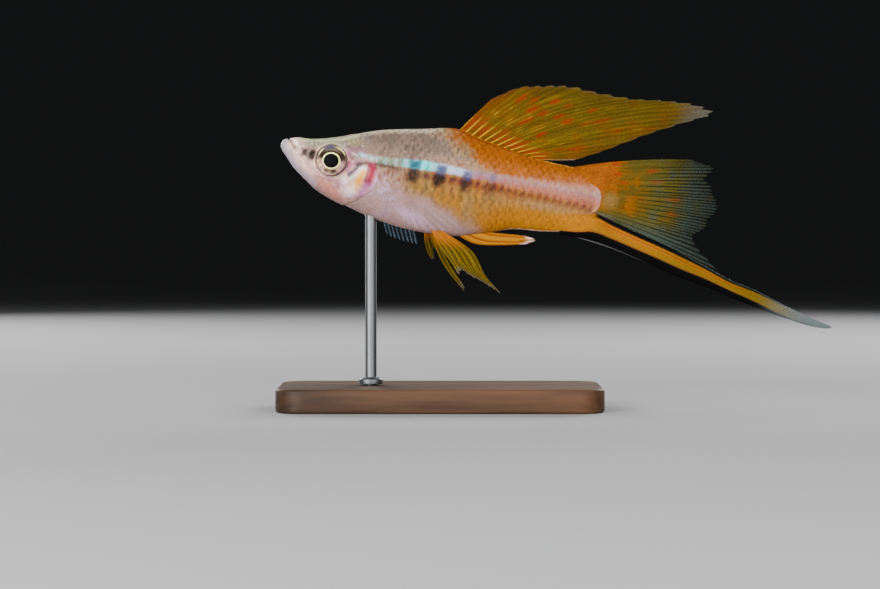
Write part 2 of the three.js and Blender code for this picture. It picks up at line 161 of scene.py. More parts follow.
FIN_GREY = colour(0.084, 0.086, 0.070)
CAUDAL_BAND = colour(0.043, 0.064, 0.050)
CAUDAL_OLIVE = colour(0.063, 0.048, 0.001)
SWORD_ORANGE = colour(0.243, 0.073, 0.001)
SWORD_YELLOW = colour(0.233, 0.097, 0.001)
SWORD_LINE = colour(0.118, 0.017, 0.001)
SWORD_TIP = colour(0.089, 0.109, 0.110)
SWORD_GREY = colour(0.160, 0.141, 0.146)
BLACK = colour(0.001, 0.001, 0.001)
PALE_RAY = colour(0.950, 0.869, 0.718)
TEAL_GREY = colour(0.113, 0.176, 0.230)
EYE_RING = colour(0.950, 0.950, 0.415)
EYE_PEACH = colour(0.720, 0.334, 0.139)
EYE_BROWN = colour(0.008, 0.003, 0.001)
EYE_OLIVE = colour(0.062, 0.058, 0.038)
EYE_VIOLET = colour(0.045, 0.037, 0.084)
EYE_PINK = colour(0.366, 0.205, 0.190)
EYE_CREAM = colour(0.917, 0.679, 0.219)
EYE_LINE = colour(0.043, 0.025, 0.020)
FIN_BROWN = colour(0.113, 0.031, 0.001)
CAUDAL_OCHRE = colour(0.112, 0.053, 0.001)
EYE_YELLOW = colour(0.950, 0.950, 0.049)
FLANK_BEIGE = colour(0.288, 0.187, 0.102)


# Numbers and curves


def soft(value, start, end):
    """A smooth ramp from 0 at start to 1 at end, which may lie before start."""
    share = np.clip((value - start) / (end - start), 0.0, 1.0)
    return share * share * (3.0 - 2.0 * share)


def hill(value, middle, width):
    """1 at the middle, falling smoothly to both sides."""
    return np.exp(-((value - middle) / width) ** 2)


def mix(first, second, share):
    return first + (second - first) * np.asarray(share)[..., None]


def through(places, values):
    """A smooth curve through values given at rising places, by cubic pieces."""
    places = np.asarray(places, float)
    values = np.asarray(values, float)
    before = np.maximum(np.arange(len(values)) - 1, 0)
    after = np.minimum(np.arange(len(values)) + 1, len(values) - 1)
    slopes = (values[after] - values[before]) / (places[after] - places[before])

    def at(place):
        i = np.clip(np.searchsorted(places, place, side="right") - 1, 0, len(places) - 2)
        span = places[i + 1] - places[i]
        share = np.clip((place - places[i]) / span, 0.0, 1.0)
        rise = values[i + 1] - values[i]
        start = slopes[i] * span - rise
        end = slopes[i + 1] * span - rise
        return values[i] + rise * share + share * (1 - share) * (start * (1 - share) - end * share)

    return at


def line_at(lines, share):
    """A smooth line through points (first axis) at shares from 0 to 1."""
    count = len(lines)
    place = np.clip(share, 0, 1) * (count - 1)
    i = np.minimum(place.astype(int), count - 2)
    t = (place - i)[..., None]
    padded = np.concatenate([[2 * lines[0] - lines[1]], lines, [2 * lines[-1] - lines[-2]]])
    if lines.ndim == 2:
        before, start, end, after = padded[i], padded[i + 1], padded[i + 2], padded[i + 3]
    else:
        pick = np.indices(share.shape)
        before, start, end, after = (padded[(i + k, *pick)] for k in range(4))
    start_slope = (end - before) / 2
    end_slope = (after - start) / 2
    cubic = 2 * start - 2 * end + start_slope + end_slope
    square = -3 * start + 3 * end - 2 * start_slope - end_slope
    return ((cubic * t + square) * t + start_slope) * t + start


def distance_to_line(along, up, line):
    """Distance in the side view from each point to a line, and the share passed along it."""
    best = np.full(np.shape(along), 1e9)
    share = np.zeros(np.shape(along))
    steps = np.hypot(*(line[1:] - line[:-1]).T)
    passed = np.concatenate([[0], np.cumsum(steps)]) / steps.sum()
    for i in range(len(line) - 1):
        way = line[i + 1] - line[i]
        t = ((along - line[i, 0]) * way[0] + (up - line[i, 1]) * way[1]) / (way @ way)
        t = np.clip(t, 0, 1)
        gap = np.hypot(along - line[i, 0] - t * way[0], up - line[i, 1] - t * way[1])
        nearer = gap < best
        best = np.where(nearer, gap, best)
        share = np.where(nearer, passed[i] + t * (passed[i + 1] - passed[i]), share)
    return best, share


def stroke(along, up, line, width):
    """How much a soft brush stroke along a side-view line covers each point."""
    gap, _ = distance_to_line(along, up, np.asarray(line, float))
    return np.exp(-(gap / width) ** 2)


def blob(along, up, centre, half_long, half_short, degrees=0.0):
    """A soft-edged oval mark, 1 at its centre."""
    turn = math.radians(degrees)
    right, above = along - centre[0], up - centre[1]
    a = (right * math.cos(turn) + above * math.sin(turn)) / half_long
    b = (above * math.cos(turn) - right * math.sin(turn)) / half_short
    return np.exp(-(a * a + b * b) ** 1.5)


def spread(paint, like):
    """One colour repeated for each of the places."""
    return np.broadcast_to(paint, like.shape + (3,))


def ripple(seed, *places):
    """Smooth noise between about -1 and 1 at places given in millimetres."""
    random = np.random.default_rng(seed)
    total = 0.0
    for octave in range(3):
        ways = random.normal(size=(4, len(places))) * 1.9 ** octave
        phases = random.uniform(0, 2 * math.pi, 4)
        for way, phase in zip(ways, phases):
            angle = sum(w * p for w, p in zip(way, places)) + phase
            total = total + np.sin(angle) / (octave + 1.5)
    return total / 4.0


# The body's shape: the solids' sections, a little narrower at the rear end

SECTIONS = np.array([
    # along, back, belly, half width
    [0.0, 0.15, 0.1, 0.0],
    [0.35, 1.35, -0.7, 1.25],
    [1.6, 1.85, -2.05, 2.0],
    [3.3, 2.45, -3.9, 2.6],
    [6.0, 2.6, -5.9, 3.3],
    [9.0, 3.25, -7.9, 3.95],
    [12.5, 4.3, -9.3, 4.4],
    [16.5, 5.9, -10.45, 4.85],
    [21.0, 7.3, -11.65, 5.15],
    [28.0, 8.7, -12.75, 5.2],
    [35.7, 10.1, -12.85, 4.7],
    [40.0, 9.0, -12.35, 4.2],
    [46.0, 7.95, -10.6, 3.5],
    [51.0, 7.2, -9.0, 2.95],
    [57.0, 6.55, -8.4, 2.4],
    [62.5, 6.2, -7.4, 1.75],
    [66.0, 4.8, -6.0, 1.0],
    [68.0, 2.2, -3.8, 0.5],
    [STANDARD_LENGTH, -0.7, -0.75, 0.0],
])


def turn_at(along):
    return np.arccos(np.clip(1 - 2 * along / STANDARD_LENGTH, -1, 1))


def along_at(turn):
    return 0.5 * (1 - np.cos(turn)) * STANDARD_LENGTH


TURNS = turn_at(SECTIONS[:, 0])
back_at = through(TURNS, SECTIONS[:, 1])
belly_at = through(TURNS, SECTIONS[:, 2])
half_at = through(TURNS, SECTIONS[:, 3])
widest_share = through([0, 0.6, 1.3, math.pi], [0.62, 0.6, 0.52, 0.52])
crown_power = through([0, 0.75, 1.2, math.pi], [2.3, 2.7, 2.2, 2.0])


def body_point(turn, around):
    """A point of the body: turn runs from snout to tail, around goes about."""
    back, belly, half = back_at(turn), belly_at(turn), half_at(turn)
    widest = belly + (back - belly) * widest_share(turn)
    upper = np.sin(around) >= 0
    power = np.where(upper, crown_power(turn), 2.0)
    tall = np.where(upper, back - widest, widest - belly)
    across = np.sign(np.cos(around)) * np.abs(np.cos(around)) ** (2 / power)
    rise = np.sign(np.sin(around)) * np.abs(np.sin(around)) ** (2 / power)
    return np.stack([along_at(turn), half * across, widest + tall * rise], axis=-1)


NEAR = 0.004


def body_normal(turn, around):
    step = NEAR
    lengthwise = body_point(turn + step, around) - body_point(turn - step, around)
    about = body_point(turn, around + step) - body_point(turn, around - step)
    normal = np.cross(about, lengthwise)
    size = np.linalg.norm(normal, axis=-1, keepdims=True)
    return normal / np.maximum(size, 1e-9)


# Mesh pieces


def grid_faces(rows, columns, offset=0, closed=False):
    """Quads between rows of points; closed joins each row's end to its start."""
    first = np.arange(rows * columns).reshape(rows, columns) + offset
    if closed:
        first = np.concatenate([first, first[:, :1]], axis=1)
    corners = [first[:-1, :-1], first[:-1, 1:], first[1:, 1:], first[1:, :-1]]
    return np.stack([corner.ravel() for corner in corners], axis=1)


def place_in_scene(name, data):
    thing = bpy.data.objects.new(name, data)
    bpy.context.scene.collection.objects.link(thing)
    return thing


def make_piece(name, points, faces, tints, material):
    """A mesh object from row-frame points in metres and faces with one number of corners."""
    mesh = bpy.data.meshes.new(name)
    corners = faces.shape[1]
    mesh.vertices.add(points.size // 3)
    mesh.vertices.foreach_set("co", np.ascontiguousarray(points, np.float32).ravel())
    mesh.loops.add(faces.size)
    mesh.loops.foreach_set("vertex_index", np.ascontiguousarray(faces, np.int32).ravel())
    mesh.polygons.add(len(faces))
    mesh.polygons.foreach_set("loop_start", np.arange(0, faces.size, corners, dtype=np.int32))
    mesh.update(calc_edges=True)
    mesh.validate()
    mesh.polygons.foreach_set("use_smooth", np.full(len(mesh.polygons), True))
    if tints is not None:
        layer = mesh.color_attributes.new("tint", "FLOAT_COLOR", "POINT")
        layer.data.foreach_set("color", np.ascontiguousarray(tints, np.float32).ravel())
    piece = place_in_scene(name, mesh)
    mesh.materials.append(material)
    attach(piece, "root")
    return piece


def with_alpha(colours, alpha):
    """The colours with how opaque each place is as a fourth value."""
    alpha = np.broadcast_to(np.asarray(alpha)[..., None], colours.shape[:-1] + (1,))
    return np.concatenate([colours, alpha], axis=-1)


# Materials


def nodes_of(name):
    material = bpy.data.materials.new(name)
    material.use_nodes = True
    tree = material.node_tree
    return material, tree, tree.nodes["Principled BSDF"]


def set_inputs(node, values):
    for socket, value in values.items():
        node.inputs[socket].default_value = value


def ramp_node(tree, start, end):
    """A colour ramp between two stops, each a position and a colour."""
    ramp = tree.nodes.new("ShaderNodeValToRGB")
    for stop, (position, paint) in zip(ramp.color_ramp.elements, (start, end)):
        stop.position = position
        stop.color = (*paint, 1)
    return ramp


def add_bump(tree, shader, height, distance, strength):
    bump = tree.nodes.new("ShaderNodeBump")
    set_inputs(bump, {"Distance": distance, "Strength": strength})
    tree.links.new(height, bump.inputs["Height"])
    tree.links.new(bump.outputs["Normal"], shader.inputs["Normal"])


def noise_node(tree, scale, detail=3.0, stretch=(1, 1, 1)):
    place = tree.nodes.new("ShaderNodeTexCoord")
    mapping = tree.nodes.new("ShaderNodeMapping")
    set_inputs(mapping, {"Scale": stretch})
    noise = tree.nodes.new("ShaderNodeTexNoise")
    set_inputs(noise, {"Scale": scale, "Detail": detail})
    tree.links.new(place.outputs["Object"], mapping.inputs["Vector"])
    tree.links.new(mapping.outputs["Vector"], noise.inputs["Vector"])
    return noise


SKIN_BUMP = 0.00005


def tinted_material(name, roughness, shine=0.35, coat=0.0, metal=0.0, speckle=0.1, speckle_size=2500,
                    bump=0.2, see_through=False, under=0.0):
    """Colour from the tint attribute, with fine speckle, small bumps and a wet coat."""
    material, tree, shader = nodes_of(name)
    set_inputs(shader, {
        "Roughness": roughness, "Specular IOR Level": shine, "Metallic": metal, "Coat Weight": coat,
        "Coat Roughness": 0.15, "Subsurface Weight": under, "Subsurface Radius": (1.0, 0.45, 0.25),
        "Subsurface Scale": 0.0008,
    })
    tint = tree.nodes.new("ShaderNodeAttribute")
    tint.attribute_name = "tint"
    noise = noise_node(tree, speckle_size)
    shade = tree.nodes.new("ShaderNodeMapRange")
    set_inputs(shade, {"From Min": 0.3, "From Max": 0.7, "To Min": 1.0 - speckle, "To Max": 1.0 + speckle})
    tree.links.new(noise.outputs["Fac"], shade.inputs["Value"])
    scaled = tree.nodes.new("ShaderNodeVectorMath")
    scaled.operation = "SCALE"
    tree.links.new(tint.outputs["Color"], scaled.inputs[0])
    tree.links.new(shade.outputs["Result"], scaled.inputs["Scale"])
    tree.links.new(scaled.outputs["Vector"], shader.inputs["Base Color"])
    if see_through:
        tree.links.new(tint.outputs["Alpha"], shader.inputs["Alpha"])
    if bump:
        add_bump(tree, shader, noise.outputs["Fac"], SKIN_BUMP, bump)
    return material


# Markings of skin and scales

stripe_middle = through([16, 19, 23, 28, 34, 40, 44, 55, 68],
                        [0.95, 0.55, 0.6, 0.95, 1.15, 0.95, 1.0, 0.75, 0.5])
stripe_half = through([16, 20, 30, 37, 42, 50, 60, 68.6], [0.55, 0.7, 0.9, 0.85, 0.8, 1.25, 1.85, 2.45])
line_middle = through([20, 26, 34, 40, 47, 55, 64, 68.6], [-0.6, -1.2, -1.0, -0.85, -1.2, -1.45, -1.8, -2.3])
orange_edge = through([-1.0, 1.0, 2.2, 4.3, 7.5, 10.5], [62.0, 50.0, 44.8, 40.2, 36.2, 33.2])
pale_edge = through([18, 25, 33, 41, 48, 60], [-1.6, -4.8, -6.6, -9.2, -11.6, -15.0])

SPOTS = [
    # along, half width, height of the upper part, strength, blue of the upper part
    (28.4, 1.15, 0.9, 1.0, SPOT_TEAL), (34.0, 1.15, 0.8, 1.0, SPOT_BLUE),
    (39.6, 0.9, 0.6, 0.9, SPOT_BLUE), (45.0, 0.6, 1.1, 0.5, SPOT_BLUE),
]


def height_share(along, up):
    """0 at the belly's edge and 1 at the back's."""
    turn = turn_at(along)
    return (up - belly_at(turn)) / np.maximum(back_at(turn) - belly_at(turn), 0.5)


def scale_phase(along):
    """Counts the scale columns along the body."""
    return np.interp(along, [18, 40, 68.6], [0, 11.6, 29.4])


def flank_tint(along, up):
    """The trunk's and tail stalk's colours."""
    share = height_share(along, up)
    streaks = ripple(7, along * 3.2, up * 0.5)
    blotches = ripple(5, along, up)
    tint = mix(spread(FLANK_PINK, along), FLANK_TAN, soft(along + 2 * blotches, 23, 30))
    tint = mix(tint, FLANK_OLIVE, 0.6 * soft(streaks, 0.0, 0.5) * soft(along, 21, 25))
    tint = mix(tint, FLANK_ORANGE, 0.7 * soft(-streaks, 0.0, 0.4) * soft(along, 26, 36))
    tint = mix(tint, FLANK_ORANGE, soft(along + 3 * blotches, 44, 56))
    rusty = soft(ripple(17, along * 3.0, up * 0.8), 0.1, 0.5) * hill(up, line_middle(along) - 1.3, 1.0)
    tint = mix(tint, LINE_BROWN, 0.55 * rusty * soft(along, 26, 32) * soft(along, 60, 50))
    tint = mix(tint, FLANK_BEIGE, 0.85 * hill(up, -3.3 + 0.3 * streaks, 1.4) * soft(along, 44, 58))
    tint = mix(tint, FLANK_BEIGE, 0.4 * soft(streaks + blotches, -0.2, 0.6) * soft(along, 40, 28))
    bars = soft(np.cos(2 * math.pi * scale_phase(along) + 1.5 * ripple(23, along, up)), -0.3, 0.9)
    bars = bars * hill(up, line_middle(along) - 2.6, 2.3) * soft(along, 25, 29) * soft(along, 68, 60)
    tint = mix(tint, FLANK_OLIVE * 0.55, 0.62 * bars)
    back = mix(spread(BACK_GREY, along), BACK_PINK, soft(streaks + blotches, -0.2, 0.5))
    back = mix(back, BACK_PINK, soft(up, 5.0, 2.5))
    sooty = soft(ripple(24, along * 3.4, up * 1.3), 0.1, 0.5)
    back = mix(back, BACK_DARK, 0.5 * sooty * soft(along, 17, 22))
    back = back * (0.74 + 0.26 * soft(along, 24, 38))[..., None]
    # The top rim of the back is paler: partly its own greenish colour, partly a painted highlight along the
    # top.
    top_edge = mix(spread(BACK_EDGE, along), LIP_PALE, 0.35 * soft(along, 35, 29))
    back = mix(back, top_edge, soft(share, 0.93, 0.99))
    tint = mix(tint, back, soft(up, 0.8, 1.8))
    lilac = hill(up - stripe_middle(along), 1.6, 0.9) * soft(along, 30, 36) * soft(along, 56, 48)
    tint = mix(tint, BAND_CREAM, 0.5 * lilac)
    reach = along + 3.2 * blotches + 1.6 * ripple(15, along * 2.4, up * 2.4)
    edge = orange_edge(up)
    tint = mix(tint, FLANK_TAN, 0.6 * soft(reach, edge - 4.0, edge) * soft(up, 0.6, 2.0))
    orange = soft(reach, edge - 1.0, edge + 2.2) * soft(up, 0.4, 1.6)
    bright = mix(spread(ORANGE, along), ORANGE_BRIGHT, soft(ripple(9, along * 2, up * 2), 0.0, 0.6))
    bright = mix(bright, RAY_PALE, 0.45 * soft(share, 0.955, 0.99) * soft(along, 50, 54))
    tint = mix(tint, bright, orange)
    pale = soft(pale_edge(along) - up + 0.8 * blotches + 0.4 * streaks, -2.4, 1.6)
    belly = mix(spread(BELLY, along), BELLY_LILAC, 0.45 * soft(ripple(11, along * 0.8, up * 1.2), 0.0, 0.6))
    belly = mix(belly, BELLY_SHADE, 0.5 * soft(-blotches, 0.0, 0.6) + 0.25 * soft(along, 30, 38))
    belly = mix(belly, GILL_LILAC, 0.3 * blob(along, up, (29.5, -9.9), 3.4, 1.3, -20))
    tint = mix(tint, belly, pale)
    sheen = soft(ripple(30, along * 1.6, up * 1.6), -0.2, 0.4) * blob(along, up, (24.0, -5.2), 2.3, 2.8)
    tint = mix(tint, GILL_LILAC, 0.28 * sheen)
    rear = soft(along + blotches, 41, 48) * soft(share, 0.42, 0.2)
    tint = mix(tint, REAR_BELLY, rear)
    lengthwise = ripple(29, along * 0.5, up * 3.4)
    tint = mix(tint, SWORD_YELLOW, 0.4 * rear * soft(lengthwise, 0.05, 0.5))
    tint = mix(tint, LINE_BROWN, 0.3 * rear * soft(-lengthwise, 0.15, 0.6))
    tint = mix(tint, CORAL, 0.6 * blob(along, up, (37.9, 2.6), 0.6, 0.4))
    return stripe_tint(tint, along, up)


def stripe_tint(tint, along, up):
    """The bright stripe, the dark zigzag line under it and the dark spots."""
    wide = stripe_half(along)
    from_middle = (up - stripe_middle(along)) / wide + 0.2 * ripple(8, along * 2.5, up * 1.5)
    streaky = ripple(12, along * 2, up)
    bright = mix(spread(STRIPE_CREAM, along), STRIPE_MINT, 0.7 * soft(streaky, -0.1, 0.5))
    bright = mix(bright, STRIPE_WHITE, 0.6 * soft(ripple(13, along * 1.6, up), 0.1, 0.5))
    bright = mix(bright, STRIPE_AQUA, soft(along, 25.0, 28.5) * (0.65 + 0.35 * soft(streaky, -0.3, 0.3)))
    bright = mix(bright, STRIPE_WHITE, soft(along, 31.5, 35))
    bright = mix(bright, STRIPE_LILAC, soft(along, 38, 42))
    cloudy = ripple(26, along * 1.3, up * 1.2)
    bright = mix(bright, BAND_CREAM, 0.55 * soft(along, 43, 50) * soft(from_middle + 0.5 * cloudy, 0.1, 0.7))
    grainy = soft(ripple(27, along * 3.0, up * 0.8), 0.15, 0.55)
    bright = mix(bright, BACK_EDGE, 0.5 * soft(along, 42, 47) * grainy)
    bright = mix(bright, BAND_PINK, soft(along, 44, 51) * soft(from_middle, 0.4, -0.3))
    bright = mix(bright, BAND_CORAL, 0.7 * soft(along, 46, 54) * soft(from_middle, -0.15, -0.75))
    rusty = soft(ripple(25, along * 2.6, up * 2.2), 0.0, 0.5)
    bright = mix(bright, CORAL, 0.45 * rusty * hill(along, 45, 4.5))
    softness = np.where(along > 44, 0.5, 0.25)
    phase = scale_phase(along)
    comb = np.cos(2 * math.pi * phase)
    from_middle = from_middle + soft(along, 40, 46) * (0.2 * ripple(16, along * 4.0, up * 3.0) + 0.12 * comb)
    front = soft(along, 22, 25) * soft(along, 38, 34)
    bright = mix(bright, STRIPE_MINT * 0.5, 0.55 * front * soft(comb, 0.3, 0.95))
    bright = mix(bright, STRIPE_WHITE, 0.5 * front * soft(-comb, 0.2, 0.9))
    cover = soft(np.abs(from_middle), 1 + softness, 1 - softness)
    cover = cover * soft(along, 16.8, 17.6) * soft(along, 68.5, 68.2)
    tint = mix(tint, bright, 0.95 * cover)
    coral = hill(up, line_middle(along) + 0.3, 1.25) * soft(along, 30, 34) * soft(along, 54, 47)
    tint = mix(tint, CORAL, 0.8 * coral * soft(ripple(14, along * 2.5, up), -0.5, 0.3))
    zigzag = (0.4 + 0.5 * soft(along, 44, 50)) * (np.abs(phase % 1 * 2 - 1) - 0.5)
    dark = hill(up, line_middle(along) + zigzag, np.where(along > 50, 0.8, 0.85))
    dark = dark * (0.35 + 0.65 * soft(along, 25, 33)) * soft(along, 18, 20) * soft(along, 67.5, 66.0)
    dashes = 0.72 + 0.28 * np.cos(phase * 2 * math.pi + 0.6)
    line_paint = mix(spread(LINE_PURPLE, along), LINE_BROWN * 0.75, soft(along, 46, 54))
    tint = mix(tint, line_paint, 0.95 * dark * dashes)
    wander, drift = ripple(18, along * 2, up * 2), ripple(22, along * 2, up * 2)
    reach = up + 0.3 * ripple(19, along * 3, up * 2)
    for place, width, top, strength, blue in SPOTS:
        leaning = along - place - 0.12 * up
        mark = np.exp(-np.abs((leaning + 0.2 * wander) / width) ** 4)
        smudge = np.exp(-np.abs((leaning + 0.3 * drift) / width) ** 3)
        smudge = 0.96 * strength * smudge * soft(reach, 0.3, -0.2) * soft(reach, -3.6, -2.2)
        tint = mix(tint, SPOT_DARK, smudge)
        tint = mix(tint, blue, 0.95 * strength * mark * np.exp(-np.abs((up - top) / 1.05) ** 4))
    lattice = soft(ripple(20, along * 3.5, up * 2.5), 0.0, 0.35) * blob(along, up, (24.6, -2.3), 4.6, 2.2)
    tint = mix(tint, LINE_BROWN, 0.75 * lattice)
    rim = hill(up, -0.4, 0.5) * soft(along, 16.5, 18) * soft(along, 27.5, 24)
    return mix(tint, GILL_BROWN, 0.9 * rim)


FACE_BLOBS = [
    # centre, half length, half width, degrees, colour, strength
    ((11.6, -6.9), 2.6, 1.2, -20, SALMON, 0.5),
    ((9.3, -5.4), 2.0, 0.9, -35, SALMON, 0.22),
    ((14.4, -8.4), 2.6, 0.9, -10, SALMON, 0.35),
    ((12.6, -5.4), 2.0, 0.5, -6, MAUVE, 0.5),
    ((15.9, -6.9), 1.7, 1.3, 20, GILL_SILVER, 0.6),
    ((14.6, -4.9), 1.0, 1.0, 20, GILL_SILVER, 0.6),
    ((17.5, -7.9), 1.8, 0.7, 20, MAUVE, 0.4),
    ((18.6, -8.8), 1.5, 0.9, 0, THROAT, 0.45),
    ((15.2, 3.6), 1.7, 0.7, 10, NAPE_GREEN, 0.7),
    ((13.2, 3.0), 0.55, 0.3, 25, FRECKLE, 0.55),
    ((12.2, 3.3), 0.4, 0.25, 10, FRECKLE, 0.4),
    ((14.7, 2.0), 1.2, 0.45, -20, FRECKLE, 0.65),
    ((3.9, 1.0), 1.3, 0.7, 10, NAPE_GREEN, 0.3),
    ((15.7, 3.1), 0.5, 0.3, 0, FRECKLE, 0.35),
    ((16.5, 2.6), 0.6, 0.3, -10, FRECKLE, 0.4),
    ((16.3, 1.75), 1.7, 0.5, -8, MAUVE, 0.8),
    ((15.9, 0.4), 2.1, 1.6, -12, HEAD_BACK, 0.75),
    # A painted highlight: a thin pale streak behind the eye.
    ((15.6, 0.9), 0.9, 0.2, -15, LIP_PALE, 0.4),
    ((14.6, 0.8), 0.6, 1.0, 30, MAUVE, 0.85),
    ((15.0, -1.5), 0.75, 1.2, 12, PINK_RED, 0.85),
    ((16.0, -1.0), 1.0, 0.45, 25, MAUVE, 0.7),
    ((15.6, 0.0), 0.9, 0.4, -25, FRECKLE, 0.45),
    ((14.8, -2.6), 0.6, 1.1, 25, MAUVE, 0.75),
    ((3.03, 0.3), 0.6, 0.28, -15, FRECKLE, 0.4),
    ((4.0, 0.1), 0.5, 0.25, 0, NAPE_GREEN, 0.5),
    ((6.0, -0.1), 2.3, 1.5, 0, HEAD_BACK, 0.4),
    ((5.3, -0.4), 0.75, 1.15, -12, FRECKLE, 0.85),
    ((6.95, -0.66), 1.32, 1.72, -14, NOSTRIL, 1.0),
    ((16.3, -3.9), 0.75, 0.6, 45, GILL_MINT, 0.75),
    ((16.9, -2.9), 0.7, 0.6, 45, GILL_SILVER, 0.8),
    ((17.65, -1.95), 0.7, 0.65, 30, GILL_CREAM, 0.9),
    ((21.0, -1.9), 0.8, 0.7, -20, GILL_SILVER, 0.6),
    ((21.35, -3.5), 0.6, 0.95, -20, GILL_LILAC, 0.9),
    ((20.8, -5.2), 0.6, 0.85, -30, GILL_LILAC, 0.85),
    ((20.0, -6.9), 0.5, 0.8, -40, GILL_LILAC, 0.5),
]

FACE_STROKES = [
    # line, width, colour, strength
    ([[8.6, -4.9], [10.9, -5.3], [13.6, -4.8]], 0.3, MAUVE, 0.4),
    # A pale line along the crown: partly its own greenish colour, partly a painted highlight.
    ([[2.8, 2.1], [6.0, 2.25], [9.3, 2.75], [13.4, 3.9], [15.9, 5.1]], 0.36, CROWN_EDGE_HIGHLIGHT, 0.6),
    ([[1.2, -1.3], [2.3, -2.5], [5.0, -4.6], [7.8, -6.2]], 0.7, CHIN_BLUE, 0.6),
    ([[1.9, 2.4], [2.6, 1.9], [3.4, 1.0]], 0.36, LIP_PALE, 0.9),
    ([[1.3, 2.2], [1.9, 1.5], [2.6, 0.8]], 0.15, MOUTH_DARK, 0.7),
    ([[2.6, 0.8], [3.6, 0.0]], 0.14, MOUTH_DARK, 0.35),
    ([[4.7, -1.15], [5.95, 0.4]], 0.26, EYE_LINE, 0.85),
    ([[4.75, 0.3], [5.9, -1.15]], 0.26, EYE_LINE, 0.75),
    ([[15.3, -3.4], [16.3, -2.25], [17.2, -1.15]], 0.5, GILL_DARK, 0.95),
    ([[16.6, -1.1], [18.5, -0.4], [20.7, -0.42], [23.4, -0.25]], 0.46, GILL_BROWN, 0.92),
    ([[16.9, 1.0], [18.8, 0.8], [21.0, 0.65]], 0.5, STRIPE_MINT, 0.85),
    ([[17.3, 1.0], [18.2, 0.85]], 0.36, STRIPE_WHITE, 0.9),
    ([[19.2, 0.6], [19.9, 0.8]], 0.36, STRIPE_WHITE, 0.8),
    ([[18.6, -1.9], [18.2, -3.2]], 0.62, GILL_CREAM, 0.95),
    ([[18.2, -2.6], [17.5, -4.4]], 0.82, GILL_YELLOW, 0.95),
    ([[17.3, -4.6], [16.9, -5.9]], 0.8, GILL_GOLD, 0.8),
    ([[16.9, -5.6], [16.5, -6.4]], 0.6, LIP_PALE, 0.5),
    ([[17.9, -3.6], [17.0, -6.2]], 0.25, GILL_GOLD, 0.7),
    ([[19.2, -0.95], [20.3, -1.3]], 0.7, GILL_WINE, 0.97),
    ([[20.0, -1.6], [19.9, -2.9], [19.5, -4.3]], 1.15, GILL_RED, 0.97),
    ([[19.15, -1.8], [18.8, -4.2]], 0.3, GILL_WINE, 0.7),
    ([[19.6, -4.2], [19.2, -5.2]], 0.6, GILL_WINE, 0.6),
    ([[19.4, -5.1], [18.6, -6.8]], 0.68, GILL_PURPLE, 0.75),
]


